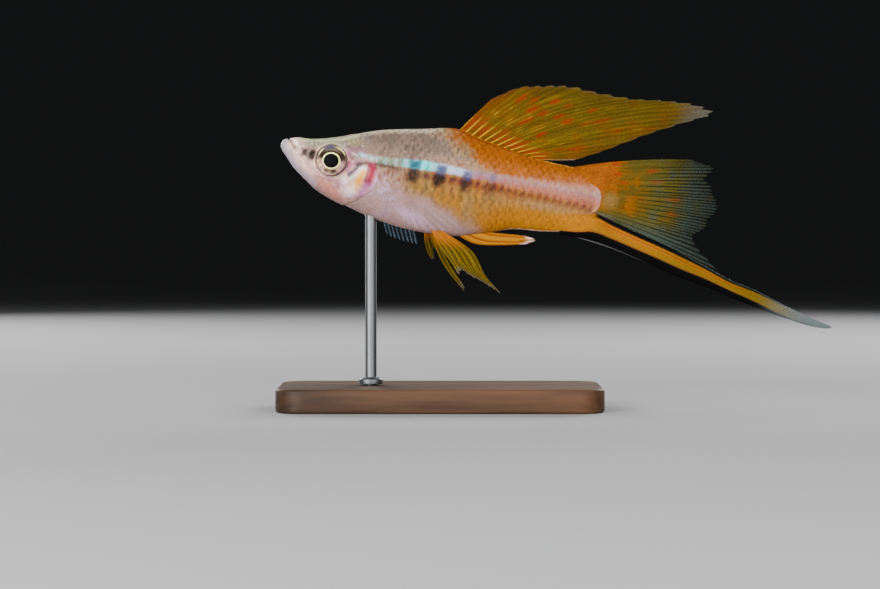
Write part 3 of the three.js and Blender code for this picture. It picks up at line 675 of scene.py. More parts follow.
def head_tint(along, up, out):
    """The colours of the head, with the marks on cheek and gill cover."""
    share = height_share(along, up)
    fine = ripple(41, along * 3.0, up * 3.0, out * 1.5)
    cloudy = ripple(49, along * 1.3, up * 1.3, out)
    # Painted shade: the head darkens toward its underside, from the cheek colour to the throat colour.
    tint = mix(spread(THROAT, along), CHEEK, soft(share + 0.15 * fine, 0.08, 0.45))
    tint = mix(tint, SNOUT, soft(along, 10.0, 5.0) * soft(share, 0.0, 0.3))
    lips = soft(along, 2.2, 0.9) * soft(up, 2.2, 1.6)
    lips = np.maximum(lips, 0.8 * soft(along, 5.2, 2.6) * soft(share, 0.62, 0.35))
    tint = mix(tint, LIP_GREY, lips)
    tint = mix(tint, MAUVE, 0.36 * soft(cloudy, 0.0, 0.5) * soft(along, 3, 7))
    tint = mix(tint, THROAT, 0.5 * soft(-cloudy, 0.1, 0.5))
    tint = mix(tint, LIP_GREY, 0.4 * soft(fine + 0.4 * cloudy, 0.1, 0.5) * soft(along, 12, 8))
    crown = soft(share + 0.05 * fine, 0.7, 0.88) * soft(along, 3.0, 6.5)
    tint = mix(tint, CROWN, crown)
    nape = soft(along, 12.4, 15.6) * soft(up, -0.4, 1.0)
    back = mix(spread(HEAD_BACK, along), BACK_PINK, soft(fine, -0.1, 0.4))
    tint = mix(tint, back, 0.9 * nape)
    # The top rim over the nape is paler: partly its own colour, partly a painted highlight.
    tint = mix(tint, mix(spread(BACK_EDGE, along), LIP_PALE, 0.35), 0.7 * soft(share, 0.93, 0.99) * nape)
    dappled = soft(ripple(50, along * 2.2, up * 3.5, out * 2.0), 0.0, 0.5)
    tint = mix(tint, HEAD_BACK, 0.4 * dappled * soft(share, 0.55, 0.75))
    specks = soft(ripple(43, along * 6.0, up * 6.0, out * 3.0), 0.2, 0.5)
    tint = mix(tint, FRECKLE, 0.5 * specks * soft(share, 0.58, 0.78) * soft(along, 3.5, 7.0))
    pale = soft(ripple(44, along * 4.5, up * 4.5, out * 3.0), 0.2, 0.5)
    tint = mix(tint, LIP_PALE, 0.3 * pale * soft(share, 0.45, 0.7))
    near_x = along + 0.12 * ripple(45, along * 4.0, up * 4.0)
    near_y = up + 0.12 * ripple(46, along * 4.0, up * 4.0)
    for centre, half_long, half_short, degrees, paint, strength in FACE_BLOBS:
        tint = mix(tint, paint, strength * blob(near_x, near_y, centre, half_long, half_short, degrees))
    for line, width, paint, strength in FACE_STROKES:
        tint = mix(tint, paint, strength * stroke(near_x, near_y, line, width))
    eye_gap = np.hypot(along - EYE_CENTRE[0], up - EYE_CENTRE[2])
    eye_turn = np.arctan2(up - EYE_CENTRE[2], along - EYE_CENTRE[0])
    # A pale rim round the eye socket, with a painted highlight that is brightest on its front and upper side.
    rim_highlight = 0.05 + 0.3 * soft(-np.cos(eye_turn), 0.2, 0.8) + 0.15 * soft(np.sin(eye_turn), 0.3, 0.8)
    tint = mix(tint, ORBIT_HIGHLIGHT, rim_highlight * hill(eye_gap, 3.56, 0.14))
    # Painted shade in the crease where the skin drops into the eye socket, darkest and widest on its lower
    # rear side.
    lower_rear = soft(np.cos(eye_turn + 0.75), 0.3, 0.9)
    return mix(tint, ORBIT_SHADE, (0.7 + 0.3 * lower_rear) * hill(eye_gap, 3.3, 0.19 + 0.17 * lower_rear))


def gill_side(along, up):
    """Below 0 in front of the gill line and above 0 behind it."""
    edge = np.interp(-up, -GILL_LINE[:, 1], GILL_LINE[:, 0])
    return along - edge


def scaled_share(along, up):
    """1 where scales cover the skin: behind the gill line and over the nape."""
    behind = soft(gill_side(along, up), -0.1, 0.3)
    nape = soft(up, 1.9, 2.9) * soft(along, 14.0, 15.6)
    return np.maximum(behind, nape)


def end_arc(along, up):
    """1 on the rounded line where the bright band ends at the tail fin, and more beyond it."""
    behind, beside = np.abs(along - 63.4) / 4.5, np.abs(up - 0.1) / 3.3
    return (behind ** 2.7 + beside ** 2.7) ** (1 / 2.7)


def tail_orange(along, up):
    tint = mix(spread(ORANGE, along), ORANGE_BRIGHT, soft(ripple(9, along * 2, up * 2), 0.0, 0.6))
    tint = mix(tint, ORANGE_DEEP, 0.6 * soft(ripple(28, along * 1.4, up * 2.2), 0.05, 0.5))
    return mix(tint, REAR_BELLY, soft(up, -2.4, -3.6))


def body_tint(along, up, out):
    behind = soft(gill_side(along, up), -0.2, 0.3)
    nape = soft(up, 0.9, 1.9) * soft(along, 15.5, 19.5)
    shaken_along = along + 0.15 * ripple(47, along * 3, up * 3)
    shaken_up = up + 0.1 * ripple(48, along * 3, up * 3)
    flank = flank_tint(shaken_along, shaken_up)
    tint = mix(head_tint(along, up, out), flank, np.maximum(behind, nape))
    arc = end_arc(along, up)
    tint = mix(tint, tail_orange(along, up), soft(arc, 1.0, 1.06) * soft(along, 62.5, 64.5))
    # Painted light: the lower rear of the body is made lighter, to offset the shade where its surface turns
    # down and back.
    lower_rear = soft(along, 57, 63) * soft(up, -3.0, -4.6)
    tint = tint * (1 + 0.28 * lower_rear)[..., None]
    keel = soft(up - belly_at(turn_at(along)), 0.42, 0.16) * soft(along, 48, 51)
    tint = mix(tint, LIP_PALE, 0.5 * keel)
    return mix(tint, HYPURAL_PALE, 0.4 * hill(arc, 0.98, 0.04) * soft(along, 65.6, 67.0))


# The skin: one surface over all the flesh, with mouth, eye sockets and gills


def skin_relief(along, out, up):
    """How far each skin point lies out from the body's surface."""
    relief = -0.02 - (COAT_DEPTH - 0.02) * scaled_share(along, up)
    eye_gap = np.hypot(along - EYE_CENTRE[0], up - EYE_CENTRE[2])
    relief = relief - SOCKET_DEPTH * soft(eye_gap, SOCKET_RADIUS, 2.95) + 0.04 * hill(eye_gap, 3.6, 0.24)
    mouth_gap, _ = distance_to_line(along, up, MOUTH_LINE)
    relief = relief - 0.3 * np.exp(-(mouth_gap / 0.16) ** 2) + 0.08 * hill(mouth_gap, 0.5, 0.22)
    relief = relief - 0.4 * blob(along, up, (7.1, -0.68), 0.55, 0.9, -14)
    relief = relief - 0.25 * blob(along, up, (5.35, -0.4), 0.28, 0.55, -10)
    relief = relief - 0.08 * stroke(along, up, [[3.1, 0.1], [4.1, -1.6], [4.9, -4.4]], 0.25)
    relief = relief + 0.12 * blob(along, up, (17.4, -4.6), 2.6, 3.2)
    cheek_gap, _ = distance_to_line(along, up, CHEEK_LINE)
    relief = relief - 0.14 * np.exp(-(cheek_gap / 0.3) ** 2)
    gill_gap, passed = distance_to_line(along, up, GILL_LINE)
    open_gill = soft(passed, 0.25, 0.4) * soft(passed, 0.98, 0.85)
    relief = relief - 0.28 * hill(gill_side(along, up), 0.2, 0.2) * open_gill * (gill_gap < 1.0)
    relief = relief + 0.02 * ripple(3, along * 2.6, up * 2.6, out * 2.6)
    return relief


HEAD_END = 23.0
HEAD_RINGS = 225
TAIL_RINGS = 140
RING_POINTS = 256


def make_skin():
    head_steps = np.linspace(0, turn_at(HEAD_END), HEAD_RINGS)
    tail_steps = np.linspace(turn_at(HEAD_END), math.pi, TAIL_RINGS)[1:]
    turn = np.concatenate([head_steps, tail_steps])
    around = np.linspace(-math.pi / 2, 1.5 * math.pi, RING_POINTS + 1)[:-1]
    turns, arounds = np.meshgrid(turn, around, indexing="ij")
    points = body_point(turns, arounds)
    normals = body_normal(np.clip(turns, 0.006, math.pi - 0.006), arounds)
    along, out, up = points[..., 0], points[..., 1], points[..., 2]
    fade = soft(np.sin(turns), 0.0, 0.12)
    points = points + normals * (skin_relief(along, out, up) * fade)[..., None]
    tints = with_alpha(body_tint(along, up, out), 1.0)
    faces = grid_faces(len(turn), len(around), closed=True)
    skin = make_piece("skin", to_row(points), faces, tints, SKIN_MATERIAL)
    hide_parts("head", "lower_jaw", "gill_cover_left", "gill_cover_right", "trunk", "tail_stalk")


# Scales: overlapping plates laid in rows along the body

SCALE_PITCH = 1.72
ROW_PITCH = 1.1
SCALE_GRID = 11
SCALE_HALF_LENGTH = 1.2
SCALE_HALF_HEIGHT = 1.15
PATCH_HALF = 0.0015


def girth_table():
    """For places along the body, the angle about it at each distance from the side line."""
    places = np.linspace(10.0, STANDARD_LENGTH - 0.3, 160)
    distances = np.linspace(-22, 22, 221)
    angles = np.linspace(-math.pi, math.pi, 721)
    table = np.empty((len(places), len(distances)))
    for i, place in enumerate(places):
        ring = body_point(np.full(angles.shape, turn_at(place)), angles)
        steps = np.linalg.norm(np.diff(ring, axis=0), axis=1)
        run = np.concatenate([[0], np.cumsum(steps)])
        side = np.abs(angles) < 0.9
        start = np.interp(0.0, ring[side, 2], run[side])
        table[i] = np.interp(distances, run - start, angles)
    return places, distances, table


GIRTH_PLACES, GIRTH_DISTANCES, GIRTH_ANGLES = girth_table()


def angle_at(along, distance):
    """The angle about the body at a distance from the side line."""
    i = np.interp(along, GIRTH_PLACES, np.arange(len(GIRTH_PLACES)))
    j = np.interp(distance, GIRTH_DISTANCES, np.arange(len(GIRTH_DISTANCES)))
    i = np.clip(i, 0, len(GIRTH_PLACES) - 1.001)
    j = np.clip(j, 0, len(GIRTH_DISTANCES) - 1.001)
    i0, j0 = i.astype(int), j.astype(int)
    fi, fj = i - i0, j - j0
    low = GIRTH_ANGLES[i0, j0] * (1 - fj) + GIRTH_ANGLES[i0, j0 + 1] * fj
    high = GIRTH_ANGLES[i0 + 1, j0] * (1 - fj) + GIRTH_ANGLES[i0 + 1, j0 + 1] * fj
    return low * (1 - fi) + high * fi


def scale_places():
    """Centres of one side's scales, as places along and distances from the side line."""
    columns = np.arange(-3, 34)
    rows = np.arange(-14, 15)
    column, row = np.meshgrid(columns, rows, indexing="ij")
    along = 18.0 + SCALE_PITCH * (column + 0.5 * (row % 2)) * (1 - 0.002 * column)
    pitch = ROW_PITCH * (1 - 0.16 * soft(along, 30, 68))
    distance = row * pitch
    angle = angle_at(along, distance)
    up = body_point(turn_at(np.clip(along, 0, STANDARD_LENGTH)), angle)[..., 2]
    on_side = np.abs(angle) < math.pi / 2 + 0.05
    tail_edge = np.interp(up, [-6, -3.3, -1.9, 0.3, 2.3, 3.7, 6], [64, 67.3, 67.9, 67.9, 67.0, 65.5, 62.5])
    keep = on_side & (scaled_share(along, up) > 0.4) & (along < tail_edge - 0.5)
    return along[keep], distance[keep]


def edge_darkness(along, up):
    """How strongly the rear rims of the scales are marked at a place."""
    upper = 0.45 * soft(up, 1.6, 2.8) * (0.4 + 0.6 * soft(along, 22, 30))
    lower = 0.28 + 0.16 * soft(along, 32, 24) + 0.08 * soft(along, 38, 44)
    lower = lower * soft(up, pale_edge(along) - 1.0, pale_edge(along) + 1.5) + 0.03
    lower = lower * (1 - 0.5 * soft(along, 47, 54))
    dark = np.where(up < 0.5, lower, 0.1 + upper)
    dark = dark * (1 + 0.25 * soft(along, orange_edge(up), orange_edge(up) + 3))
    in_stripe = soft(np.abs(up - stripe_middle(along)) / stripe_half(along), 1.3, 0.9)
    return dark * (1 - 0.7 * in_stripe) * (0.55 + 0.45 * soft(along, 17, 21))


def edge_paint(along, up):
    """The colour of the scales' rear rims."""
    orange = soft(along, orange_edge(up) - 1, orange_edge(up) + 2)
    upper = mix(spread(BACK_DARK, along), ORANGE_DEEP, orange)
    return mix(mix(spread(FRECKLE, along), LINE_BROWN, soft(along, 28, 40)), upper, soft(up, 0.3, 1.0))


def scale_points(along, distance, back, across, draw):
    """Points of every scale: back runs from its front to its rear rim, across from rim to rim."""
    rounding = np.sqrt(np.clip(1 - 0.9 * np.abs(across) ** 2.3, 0, 1))
    shift = np.where(back > 0, back * rounding, back) * SCALE_HALF_LENGTH
    reach_across = across * SCALE_HALF_HEIGHT * np.where(back > 0, 1 - 0.1 * back ** 2, 1)
    size = (1 - 0.12 * soft(along, 40, 68))[:, None, None]
    place = np.clip(along[:, None, None] + 0.15 + shift * size, 10.5, STANDARD_LENGTH - 0.35)
    turn = turn_at(place)
    angle = angle_at(place, distance[:, None, None] + reach_across * size)
    points = body_point(turn, angle)
    normals = body_normal(turn, angle)
    gentle = 1 - 0.4 * soft(points[..., 2], 1.5, 3.5) - 0.3 * soft(points[..., 2], -1.0, -2.5)
    lift = -0.23 + gentle * (0.036 * (back + 1) + 0.015 * (1 - across ** 2) * soft(back, -0.5, 0.6))
    lift = lift - 0.012 * draw()
    rim = np.zeros(back.shape, bool)
    rim[-1, :] = rim[:, 0] = rim[:, -1] = rim[0, :] = True
    lift = np.where(rim, np.minimum(lift, -0.225 + 0.016 * (back + 1)), lift)
    return points + normals * lift[..., None]


def scale_tint(points, back, across, draw):
    """The body's markings, with each scale's rear rim, a painted golden sheen in its middle and its own tone.
    """
    along, up = points[..., 0], points[..., 2]
    slide = 0.5 * (draw() - 0.5)
    tint = body_tint(along + slide, up + 0.3 * slide, points[..., 1])
    rear = soft(back, 0.2, 0.8) * (1 - 0.85 * across ** 2)
    dark = edge_darkness(along, up) * rear * (0.4 + 0.9 * draw())
    tint = mix(tint, edge_paint(along, up), np.clip(dark, 0, 0.9))
    # Painted sheen: a golden glow in the middle of each scale on the orange parts.
    gold_sheen = soft(along, orange_edge(up), orange_edge(up) + 3) * soft(up, 1.0, 2.5)
    gold_sheen = gold_sheen * soft(end_arc(along, up), 1.4, 1.1) + soft(up, -2.2, -3.2) * soft(along, 40, 48)
    gold_sheen = gold_sheen * blob(back, across, (0.05, 0.0), 0.55, 0.6) * (0.2 + 0.8 * draw())
    tint = mix(tint, FLANK_ORANGE * 1.1, 0.55 * np.clip(gold_sheen, 0, 1))
    band = soft(np.abs(up - stripe_middle(along)) / stripe_half(along), 1.3, 0.8) * soft(along, 44, 50)
    tint = mix(tint, BAND_CREAM, 0.3 * band * soft(np.maximum(np.abs(across), back), 0.55, 0.95))
    tint = mix(tint, BAND_CORAL, 0.4 * band * blob(back, across, (0.35, 0.0), 0.4, 0.5))
    vary = 1 + 0.14 * (draw() - 0.5) + 0.05 * soft(back, 0.4, -0.2)
    return tint * np.broadcast_to(vary, tint.shape[:-1])[..., None]


def lay_patches(piece, along, distance, back, across):
    """Gives each scale its own small patch of the map at its root's place."""
    root_u = (along / STANDARD_LENGTH)[:, None, None]
    root_v = (0.5 + distance / 50)[:, None, None]
    patch = np.stack([root_u + PATCH_HALF * back, root_v + PATCH_HALF * across], axis=-1).reshape(-1, 2)
    uv = piece.data.uv_layers.new(name="OFBake")
    corners = np.empty(len(piece.data.loops), np.int32)
    piece.data.loops.foreach_get("vertex_index", corners)
    uv.data.foreach_set("uv", patch[corners].astype(np.float32).ravel())


def make_scales(name, side):
    along, distance = scale_places()
    count = len(along)
    random = np.random.default_rng(21 + side)

    def draw():
        """A random number for each scale."""
        return random.random(count)[:, None, None]

    steps = np.linspace(-1, 1, SCALE_GRID)
    back, across = np.meshgrid(steps, steps, indexing="ij")
    points = scale_points(along, distance, back, across, draw)
    tint = with_alpha(scale_tint(points, back, across, draw), 1.0)
    points[..., 1] *= side
    faces = grid_faces(SCALE_GRID, SCALE_GRID)
    if side == LEFT:
        faces = faces[:, ::-1]
    faces = (faces[None] + (np.arange(count) * SCALE_GRID ** 2)[:, None, None]).reshape(-1, 4)
    piece = make_piece(name, to_row(points), faces, tint, SCALE_MATERIAL)
    lay_patches(piece, along, distance, back, across)


# Fins

DORSAL_RAYS = [
    # root along, tip along, tip up, slope in degrees where it leaves the body
    (36.2, 41.9, 17.4, 56), (37.5, 47.3, 20.8, 53), (38.8, 52.6, 22.1, 51), (40.2, 58.0, 22.9, 48),
    (41.5, 64.6, 22.6, 45), (42.9, 71.6, 22.6, 42), (44.2, 78.6, 23.4, 38), (45.7, 84.9, 23.6, 35),
    (47.1, 88.7, 22.4, 31), (48.5, 82.3, 19.1, 26), (49.8, 74.6, 15.1, 19), (50.9, 67.5, 10.9, 10),
    (52.0, 61.2, 7.65, 2),
]
CAUDAL_RAYS = [
    # root along, root up, tip along, tip up, slope
    (62.6, 6.1, 86.2, 12.2, 20), (64.6, 5.0, 90.9, 11.3, 18), (66.1, 3.6, 90.4, 8.3, 12),
    (67.1, 2.3, 92.2, 5.5, 8), (67.7, 1.2, 93.6, 3.1, 4), (68.0, 0.2, 92.5, 0.4, 0),
    (68.1, -0.7, 91.2, -2.3, -5), (68.1, -1.5, 89.8, -4.9, -9), (67.9, -2.2, 97.0, -10.75, -13),
]
SWORD_SECTIONS = np.array([
    # along, top, bottom
    [60.6, -5.8, -8.3], [64.5, -4.6, -8.3], [67.6, -2.6, -8.6], [72.0, -3.75, -9.25],
    [77.0, -5.1, -10.35], [82.0, -6.35, -11.5], [87.0, -7.8, -12.75], [92.0, -9.45, -13.6],
    [97.5, -11.4, -14.85], [103.0, -12.6, -16.0], [110.0, -14.75, -17.3], [116.5, -16.55, -18.15],
    [120.5, -17.35, -17.95],
])
GONOPODIUM_RAYS = [
    [(39.0, 0, -11.8), (43.8, 0, -13.2), (49.6, 0, -12.45), (54.3, 0, -11.4)],
    [(41.2, 0, -11.0), (46.0, 0, -11.8), (51.2, 0, -11.2), (56.0, 0, -10.3)],
    [(43.6, 0, -10.2), (47.6, 0, -10.2), (51.2, 0, -9.9), (54.4, 0, -9.75)],
]
PELVIC_LEFT = [
    [(33.9, 1.2, -12.0), (36.4, 2.6, -14.9), (39.0, 3.5, -17.6), (41.5, 4.1, -20.4)],
    [(34.5, 1.3, -12.0), (37.8, 2.8, -15.0), (40.2, 3.7, -17.4), (42.0, 4.3, -19.1)],
    [(35.1, 1.4, -11.95), (39.2, 2.9, -15.1), (41.9, 3.8, -18.0), (44.2, 4.4, -20.1)],
    [(35.6, 1.4, -11.9), (40.6, 2.9, -15.1), (43.8, 3.8, -18.5), (46.8, 4.4, -20.9)],
    [(36.1, 1.4, -11.8), (41.9, 2.9, -15.0), (45.4, 3.7, -18.9), (48.9, 4.2, -21.8)],
    [(36.6, 1.4, -11.7), (43.2, 2.8, -14.8), (46.9, 3.6, -19.3), (51.2, 4.0, -22.8)],
]
PELVIC_RIGHT = [
    [(32.6, 1.2, -12.2), (33.2, 2.8, -14.6), (34.1, 3.9, -16.7), (35.4, 4.7, -18.3)],
    [(33.1, 1.3, -12.2), (33.9, 3.0, -14.4), (34.8, 4.0, -16.2), (35.8, 4.8, -17.7)],
    [(33.7, 1.3, -12.1), (34.5, 2.8, -13.8), (35.0, 3.6, -14.8), (35.6, 4.2, -15.8)],
    [(34.3, 1.4, -12.1), (35.9, 2.9, -15.6), (38.6, 4.0, -19.4), (42.8, 4.8, -23.1)],
    [(34.9, 1.4, -12.0), (36.8, 2.7, -15.4), (39.8, 3.8, -19.0), (43.3, 4.6, -22.7)],
]
PECTORAL_LEFT = [
    [(24.6, 5.35, -2.6), (29.5, 6.2, -5.2), (34.6, 7.1, -7.1), (39.7, 7.9, -9.6)],
    [(24.65, 5.4, -3.2), (28.9, 6.3, -6.2), (33.2, 7.3, -8.6), (37.6, 8.1, -11.3)],
    [(24.7, 5.4, -3.8), (28.0, 6.3, -6.9), (31.2, 7.2, -9.6), (34.3, 7.9, -12.3)],
    [(24.8, 5.35, -4.5), (26.9, 6.2, -7.2), (28.7, 6.9, -9.7), (30.5, 7.5, -12.0)],
    [(24.9, 5.3, -5.1), (25.9, 6.0, -7.1), (26.8, 6.6, -8.9), (27.6, 7.1, -10.6)],
]
PECTORAL_RIGHT = [
    [(24.6, 5.35, -2.6), (27.9, 7.6, -7.0), (30.2, 9.4, -11.4), (32.0, 10.8, -15.6)],
    [(24.65, 5.4, -3.2), (27.0, 7.8, -7.6), (28.6, 9.6, -11.8), (30.2, 11.0, -15.5)],
    [(24.7, 5.4, -3.8), (25.9, 7.8, -8.0), (26.8, 9.7, -11.9), (28.3, 11.1, -15.3)],
    [(24.8, 5.35, -4.5), (24.6, 7.6, -8.2), (25.0, 9.4, -11.7), (26.4, 10.8, -15.0)],
    [(24.9, 5.3, -5.1), (23.6, 7.1, -8.2), (23.4, 8.8, -11.4), (24.6, 10.2, -14.4)],
]


def middle_ray(root, tip, rise):
    """Four points of a ray in the middle plane that leaves its root at a slope."""
    root, tip = np.array([root[0], 0, root[1]]), np.array([tip[0], 0, tip[1]])
    angle = math.radians(rise)
    reach = 0.45 * np.linalg.norm(tip - root)
    bend = root + reach * np.array([math.cos(angle), 0, math.sin(angle)])
    shares = np.linspace(0, 1, 4)[:, None]
    return (1 - shares) ** 2 * root + 2 * shares * (1 - shares) * bend + shares ** 2 * tip


def fan_surface(rays, across, length):
    """Points of a fan of rays: across from the first ray to the last, length from root to tip."""
    rays = np.asarray(rays, float)
    stations = np.stack([line_at(rays[:, k], across) for k in range(rays.shape[1])])
    return line_at(stations, length)


def ray_offsets(across, length, count, splits):
    """Signed distance to the nearest ray or branch, and distance to the nearest gap, in ray spacings."""
    place = across * (count - 1)
    line = place - np.round(place)
    gaps = np.abs(0.5 - np.abs(line))
    for start, opening in splits:
        wide = opening * soft(length, start, start + 0.3)
        gaps = np.minimum(gaps, np.where(wide > 0.02, np.abs(line) + 0.12 * (1 - wide / opening), 1.0))
        line = np.abs(line) - wide
    return line, gaps


def along_rays(points):
    """Distance run from the root in millimetres, and each point's unit direction along its ray."""
    steps = np.diff(points, axis=1)
    sizes = np.linalg.norm(steps, axis=-1)
    run = np.concatenate([np.zeros((len(points), 1)), np.cumsum(sizes, axis=1)], axis=1)
    way = np.gradient(points, axis=1)
    return run, way / np.maximum(np.linalg.norm(way, axis=-1, keepdims=True), 1e-9)


def ray_marks(points, way, marks):
    """Dashes that lie along the rays at given side-view places."""
    cover = np.zeros(points.shape[:-1])
    for along, up, half_long, half_wide, strength in marks:
        right, above = points[..., 0] - along, points[..., 2] - up
        forward = right * way[..., 0] + above * way[..., 2]
        aside = right * way[..., 2] - above * way[..., 0]
        mark = np.exp(-((forward / half_long) ** 2 + (aside / half_wide) ** 2) ** 1.4)
        cover = np.maximum(cover, strength * mark)
    return cover


FIN_STYLE = dict(
    per_ray=12, lengthwise=110, splits=((0.45, 0.25),), ray_width=0.13, gap_width=0.12, notch=0.03,
    rough=0.015, membrane=0.07, ray_height=0.08, wave=0.05, root_half=0.3, root_run=2.0, root_at=0.0,
)


def blade_faces(rows, columns):
    """Faces of a closed blade from two like grids of points, the second after the first."""
    total = rows * columns
    front = grid_faces(rows, columns)
    rear = grid_faces(rows, columns, offset=total)[:, ::-1]
    index = np.arange(total).reshape(rows, columns)
    loop = np.concatenate([index[0, :-1], index[:-1, -1], index[-1, :0:-1], index[:0:-1, 0]])
    following = np.roll(loop, -1)
    rim = np.stack([loop, loop + total, following + total, following], axis=1)
    return np.concatenate([front, rear, rim])


def make_fin(name, node, rays, side, tint, material, slot, **changes):
    """A closed thin blade with raised rays and a ragged edge between their tips."""
    style = FIN_STYLE | changes
    count = len(rays)
    across = np.linspace(0, 1, (count - 1) * style["per_ray"] + 1)
    length = np.linspace(0, 1, style["lengthwise"])
    a, v = np.meshgrid(across, length, indexing="ij")
    line, gap = ray_offsets(a, v, count, style["splits"])
    ray = np.exp(-(line / style["ray_width"]) ** 2)
    _, tip_gap = ray_offsets(a, np.ones_like(a), count, style["splits"])
    ragged = np.clip(1 - tip_gap / (2 * style["gap_width"]), 0, 1)
    rough = 0.5 + 0.5 * ripple(51, a * (count - 1) * 7.0, 0.0 * a)
    reach = v * (1 - style["notch"] * ragged - style["rough"] * rough)
    points = fan_surface(rays, a, reach)
    over = fan_surface(rays, a + NEAR, reach) - fan_surface(rays, a - NEAR, reach)
    down = fan_surface(rays, a, reach + NEAR) - fan_surface(rays, a, reach - NEAR)
    face = np.cross(over, down)
    face = face / np.maximum(np.linalg.norm(face, axis=-1, keepdims=True), 1e-9)
    run, way = along_rays(points)
    thin = 1 - 0.6 * v
    half = style["membrane"] * thin + style["ray_height"] * thin * ray
    from_root = (run - style["root_at"]) / np.where(run < style["root_at"], 2.5, style["root_run"])
    half = np.maximum(half, style["root_half"] * np.exp(-from_root ** 2))
    border = np.minimum(a, 1 - a) * (count - 1)
    half = half * (0.25 + 0.75 * soft(border, 0, 0.25)) * (1 - 0.7 * soft(v, 0.96, 1.0))
    wave = style["wave"] * np.sin(a * (count - 1) * math.pi) * soft(run, 1.0, 8.0)
    points = points + face * wave[..., None]
    tints = tint(dict(a=a, v=v, ray=ray, gap=gap, points=points, run=run, way=way))
    both = np.stack([points + face * half[..., None], points - face * half[..., None]])
    faces = blade_faces(*a.shape)
    if side <= 0:
        faces = faces[:, ::-1]
    if side:
        both[..., 1] *= side
    piece = make_piece(name, to_row(both), faces, np.stack([tints, tints]), material)
    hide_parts(node)


DORSAL_MARKS = [
    # along, up, half length, half width, strength
    (48.0, 18.5, 1.4, 0.5, 0.9), (50.7, 18.7, 1.1, 0.45, 0.7), (55.0, 19.0, 1.2, 0.5, 0.95),
    (58.1, 18.7, 1.0, 0.4, 0.6), (50.5, 16.5, 1.5, 0.45, 0.95), (53.0, 16.2, 1.3, 0.4, 0.75),
    (49.7, 14.0, 2.0, 0.45, 0.8), (56.4, 16.1, 1.3, 0.45, 0.8), (58.3, 15.4, 1.3, 0.5, 0.9),
    (63.1, 18.6, 1.1, 0.4, 0.7), (62.5, 15.7, 1.6, 0.35, 0.5), (65.4, 16.8, 2.0, 0.4, 0.55),
    (53.4, 11.8, 1.3, 0.4, 0.8), (69.0, 15.3, 1.2, 0.35, 0.5), (61.1, 10.1, 1.9, 0.4, 0.7),
    (75.7, 16.8, 1.4, 0.35, 0.35), (57.5, 9.2, 1.2, 0.35, 0.5),
]
CAUDAL_MARKS = [
    # along, up, half length, half width, strength
    (70.7, 6.3, 0.9, 0.5, 0.9), (72.2, 4.7, 1.0, 0.4, 0.8), (77.7, 8.2, 1.4, 0.4, 0.8),
    (79.0, 6.1, 1.6, 0.35, 0.5), (83.1, 3.0, 1.6, 0.4, 0.4), (83.4, 0.0, 1.5, 0.35, 0.4),
    (69.9, 8.3, 1.0, 0.35, 0.8), (75.5, 2.0, 1.4, 0.4, 0.35),
]


def dorsal_tint(fin):
    a, v, run, points = fin["a"], fin["v"], fin["run"], fin["points"]
    along, up = points[..., 0], points[..., 2]
    gap = np.exp(-(fin["gap"] / 0.08) ** 2)
    streak = ripple(33, a * 70, v * 6)
    cloud = ripple(34, along * 0.35, up * 0.7)
    golden = 0.5 * soft(streak + 0.5 * cloud, -0.2, 0.7) + 0.2 * fin["ray"]
    tint = mix(spread(FIN_OLIVE, a), FIN_GOLD, golden)
    tint = mix(tint, FIN_BROWN, 0.5 * soft(cloud, -0.1, 0.5))
    tint = tint * (1 - 0.22 * soft(v, 0.7, 0.95))[..., None]
    tint = mix(tint, FIN_DARK, 0.42 * gap * soft(run, 3, 8))
    grain = ripple(39, a * 150, v * 16)
    tint = tint * (1 + 0.22 * grain * soft(run, 4, 8))[..., None]
    tint = mix(tint, RAY_PALE, 0.3 * soft(grain, 0.35, 0.7) * soft(run, 4, 8) * soft(v, 0.95, 0.7))
    tint = mix(tint, FIN_BROWN, 0.8 * soft(a, 0.16, 0.02) + 0.5 * soft(a, 0.8, 0.97))
    cell = np.clip(np.floor(a * 12), 0, 11)
    lengths = 3.2 + 0.8 * np.sin(cell * 2.1)
    between = np.abs(a * 12 % 1 - 0.55)
    base_red = soft(run, lengths + 2.6, lengths + 0.6) * soft(run, 0.6, 1.6) * soft(between, 0.44, 0.2)
    tint = mix(tint, FIN_DARK, 0.85 * soft(run, 2.4, 1.0) * soft(between, 0.4, 0.2) * soft(a, 0.05, 0.2))
    tint = mix(tint, FIN_RED, 0.8 * base_red * (0.7 + 0.3 * np.sin(cell * 3.7)) * soft(streak, -0.7, 0.1))
    tint = mix(tint, FIN_RED, 0.85 * ray_marks(points, fin["way"], DORSAL_MARKS))
    pale = np.exp(-((a * 12 - np.round(a * 12)) / 0.075) ** 2) * soft(run, 5.6, 2.6)
    tint = mix(tint, RAY_PALE, 0.85 * pale)
    tint = mix(tint, LIP_PALE, 0.14 * soft(a, 0.988, 0.996) * soft(run, 2, 4))
    tint = mix(tint, ORANGE, 0.8 * soft(run, 1.0, 0.3))
    edge = soft(v, 0.95, 1.0) * (0.25 + 0.75 * soft(along, 78, 86))
    grey = np.maximum(edge, soft(along, 79, 86) * soft(v, 0.78, 0.95))
    tint = mix(tint, FIN_GREY, 0.75 * grey * (1 - 0.5 * soft(streak, 0.1, 0.5)))
    alpha = 0.93 - 0.1 * soft(v, 0.3, 1.0) - 0.12 * gap * soft(run, 3, 8) - 0.2 * grey
    return with_alpha(tint, np.clip(np.maximum(alpha, soft(run, 2.5, 1.0)), 0, 1))


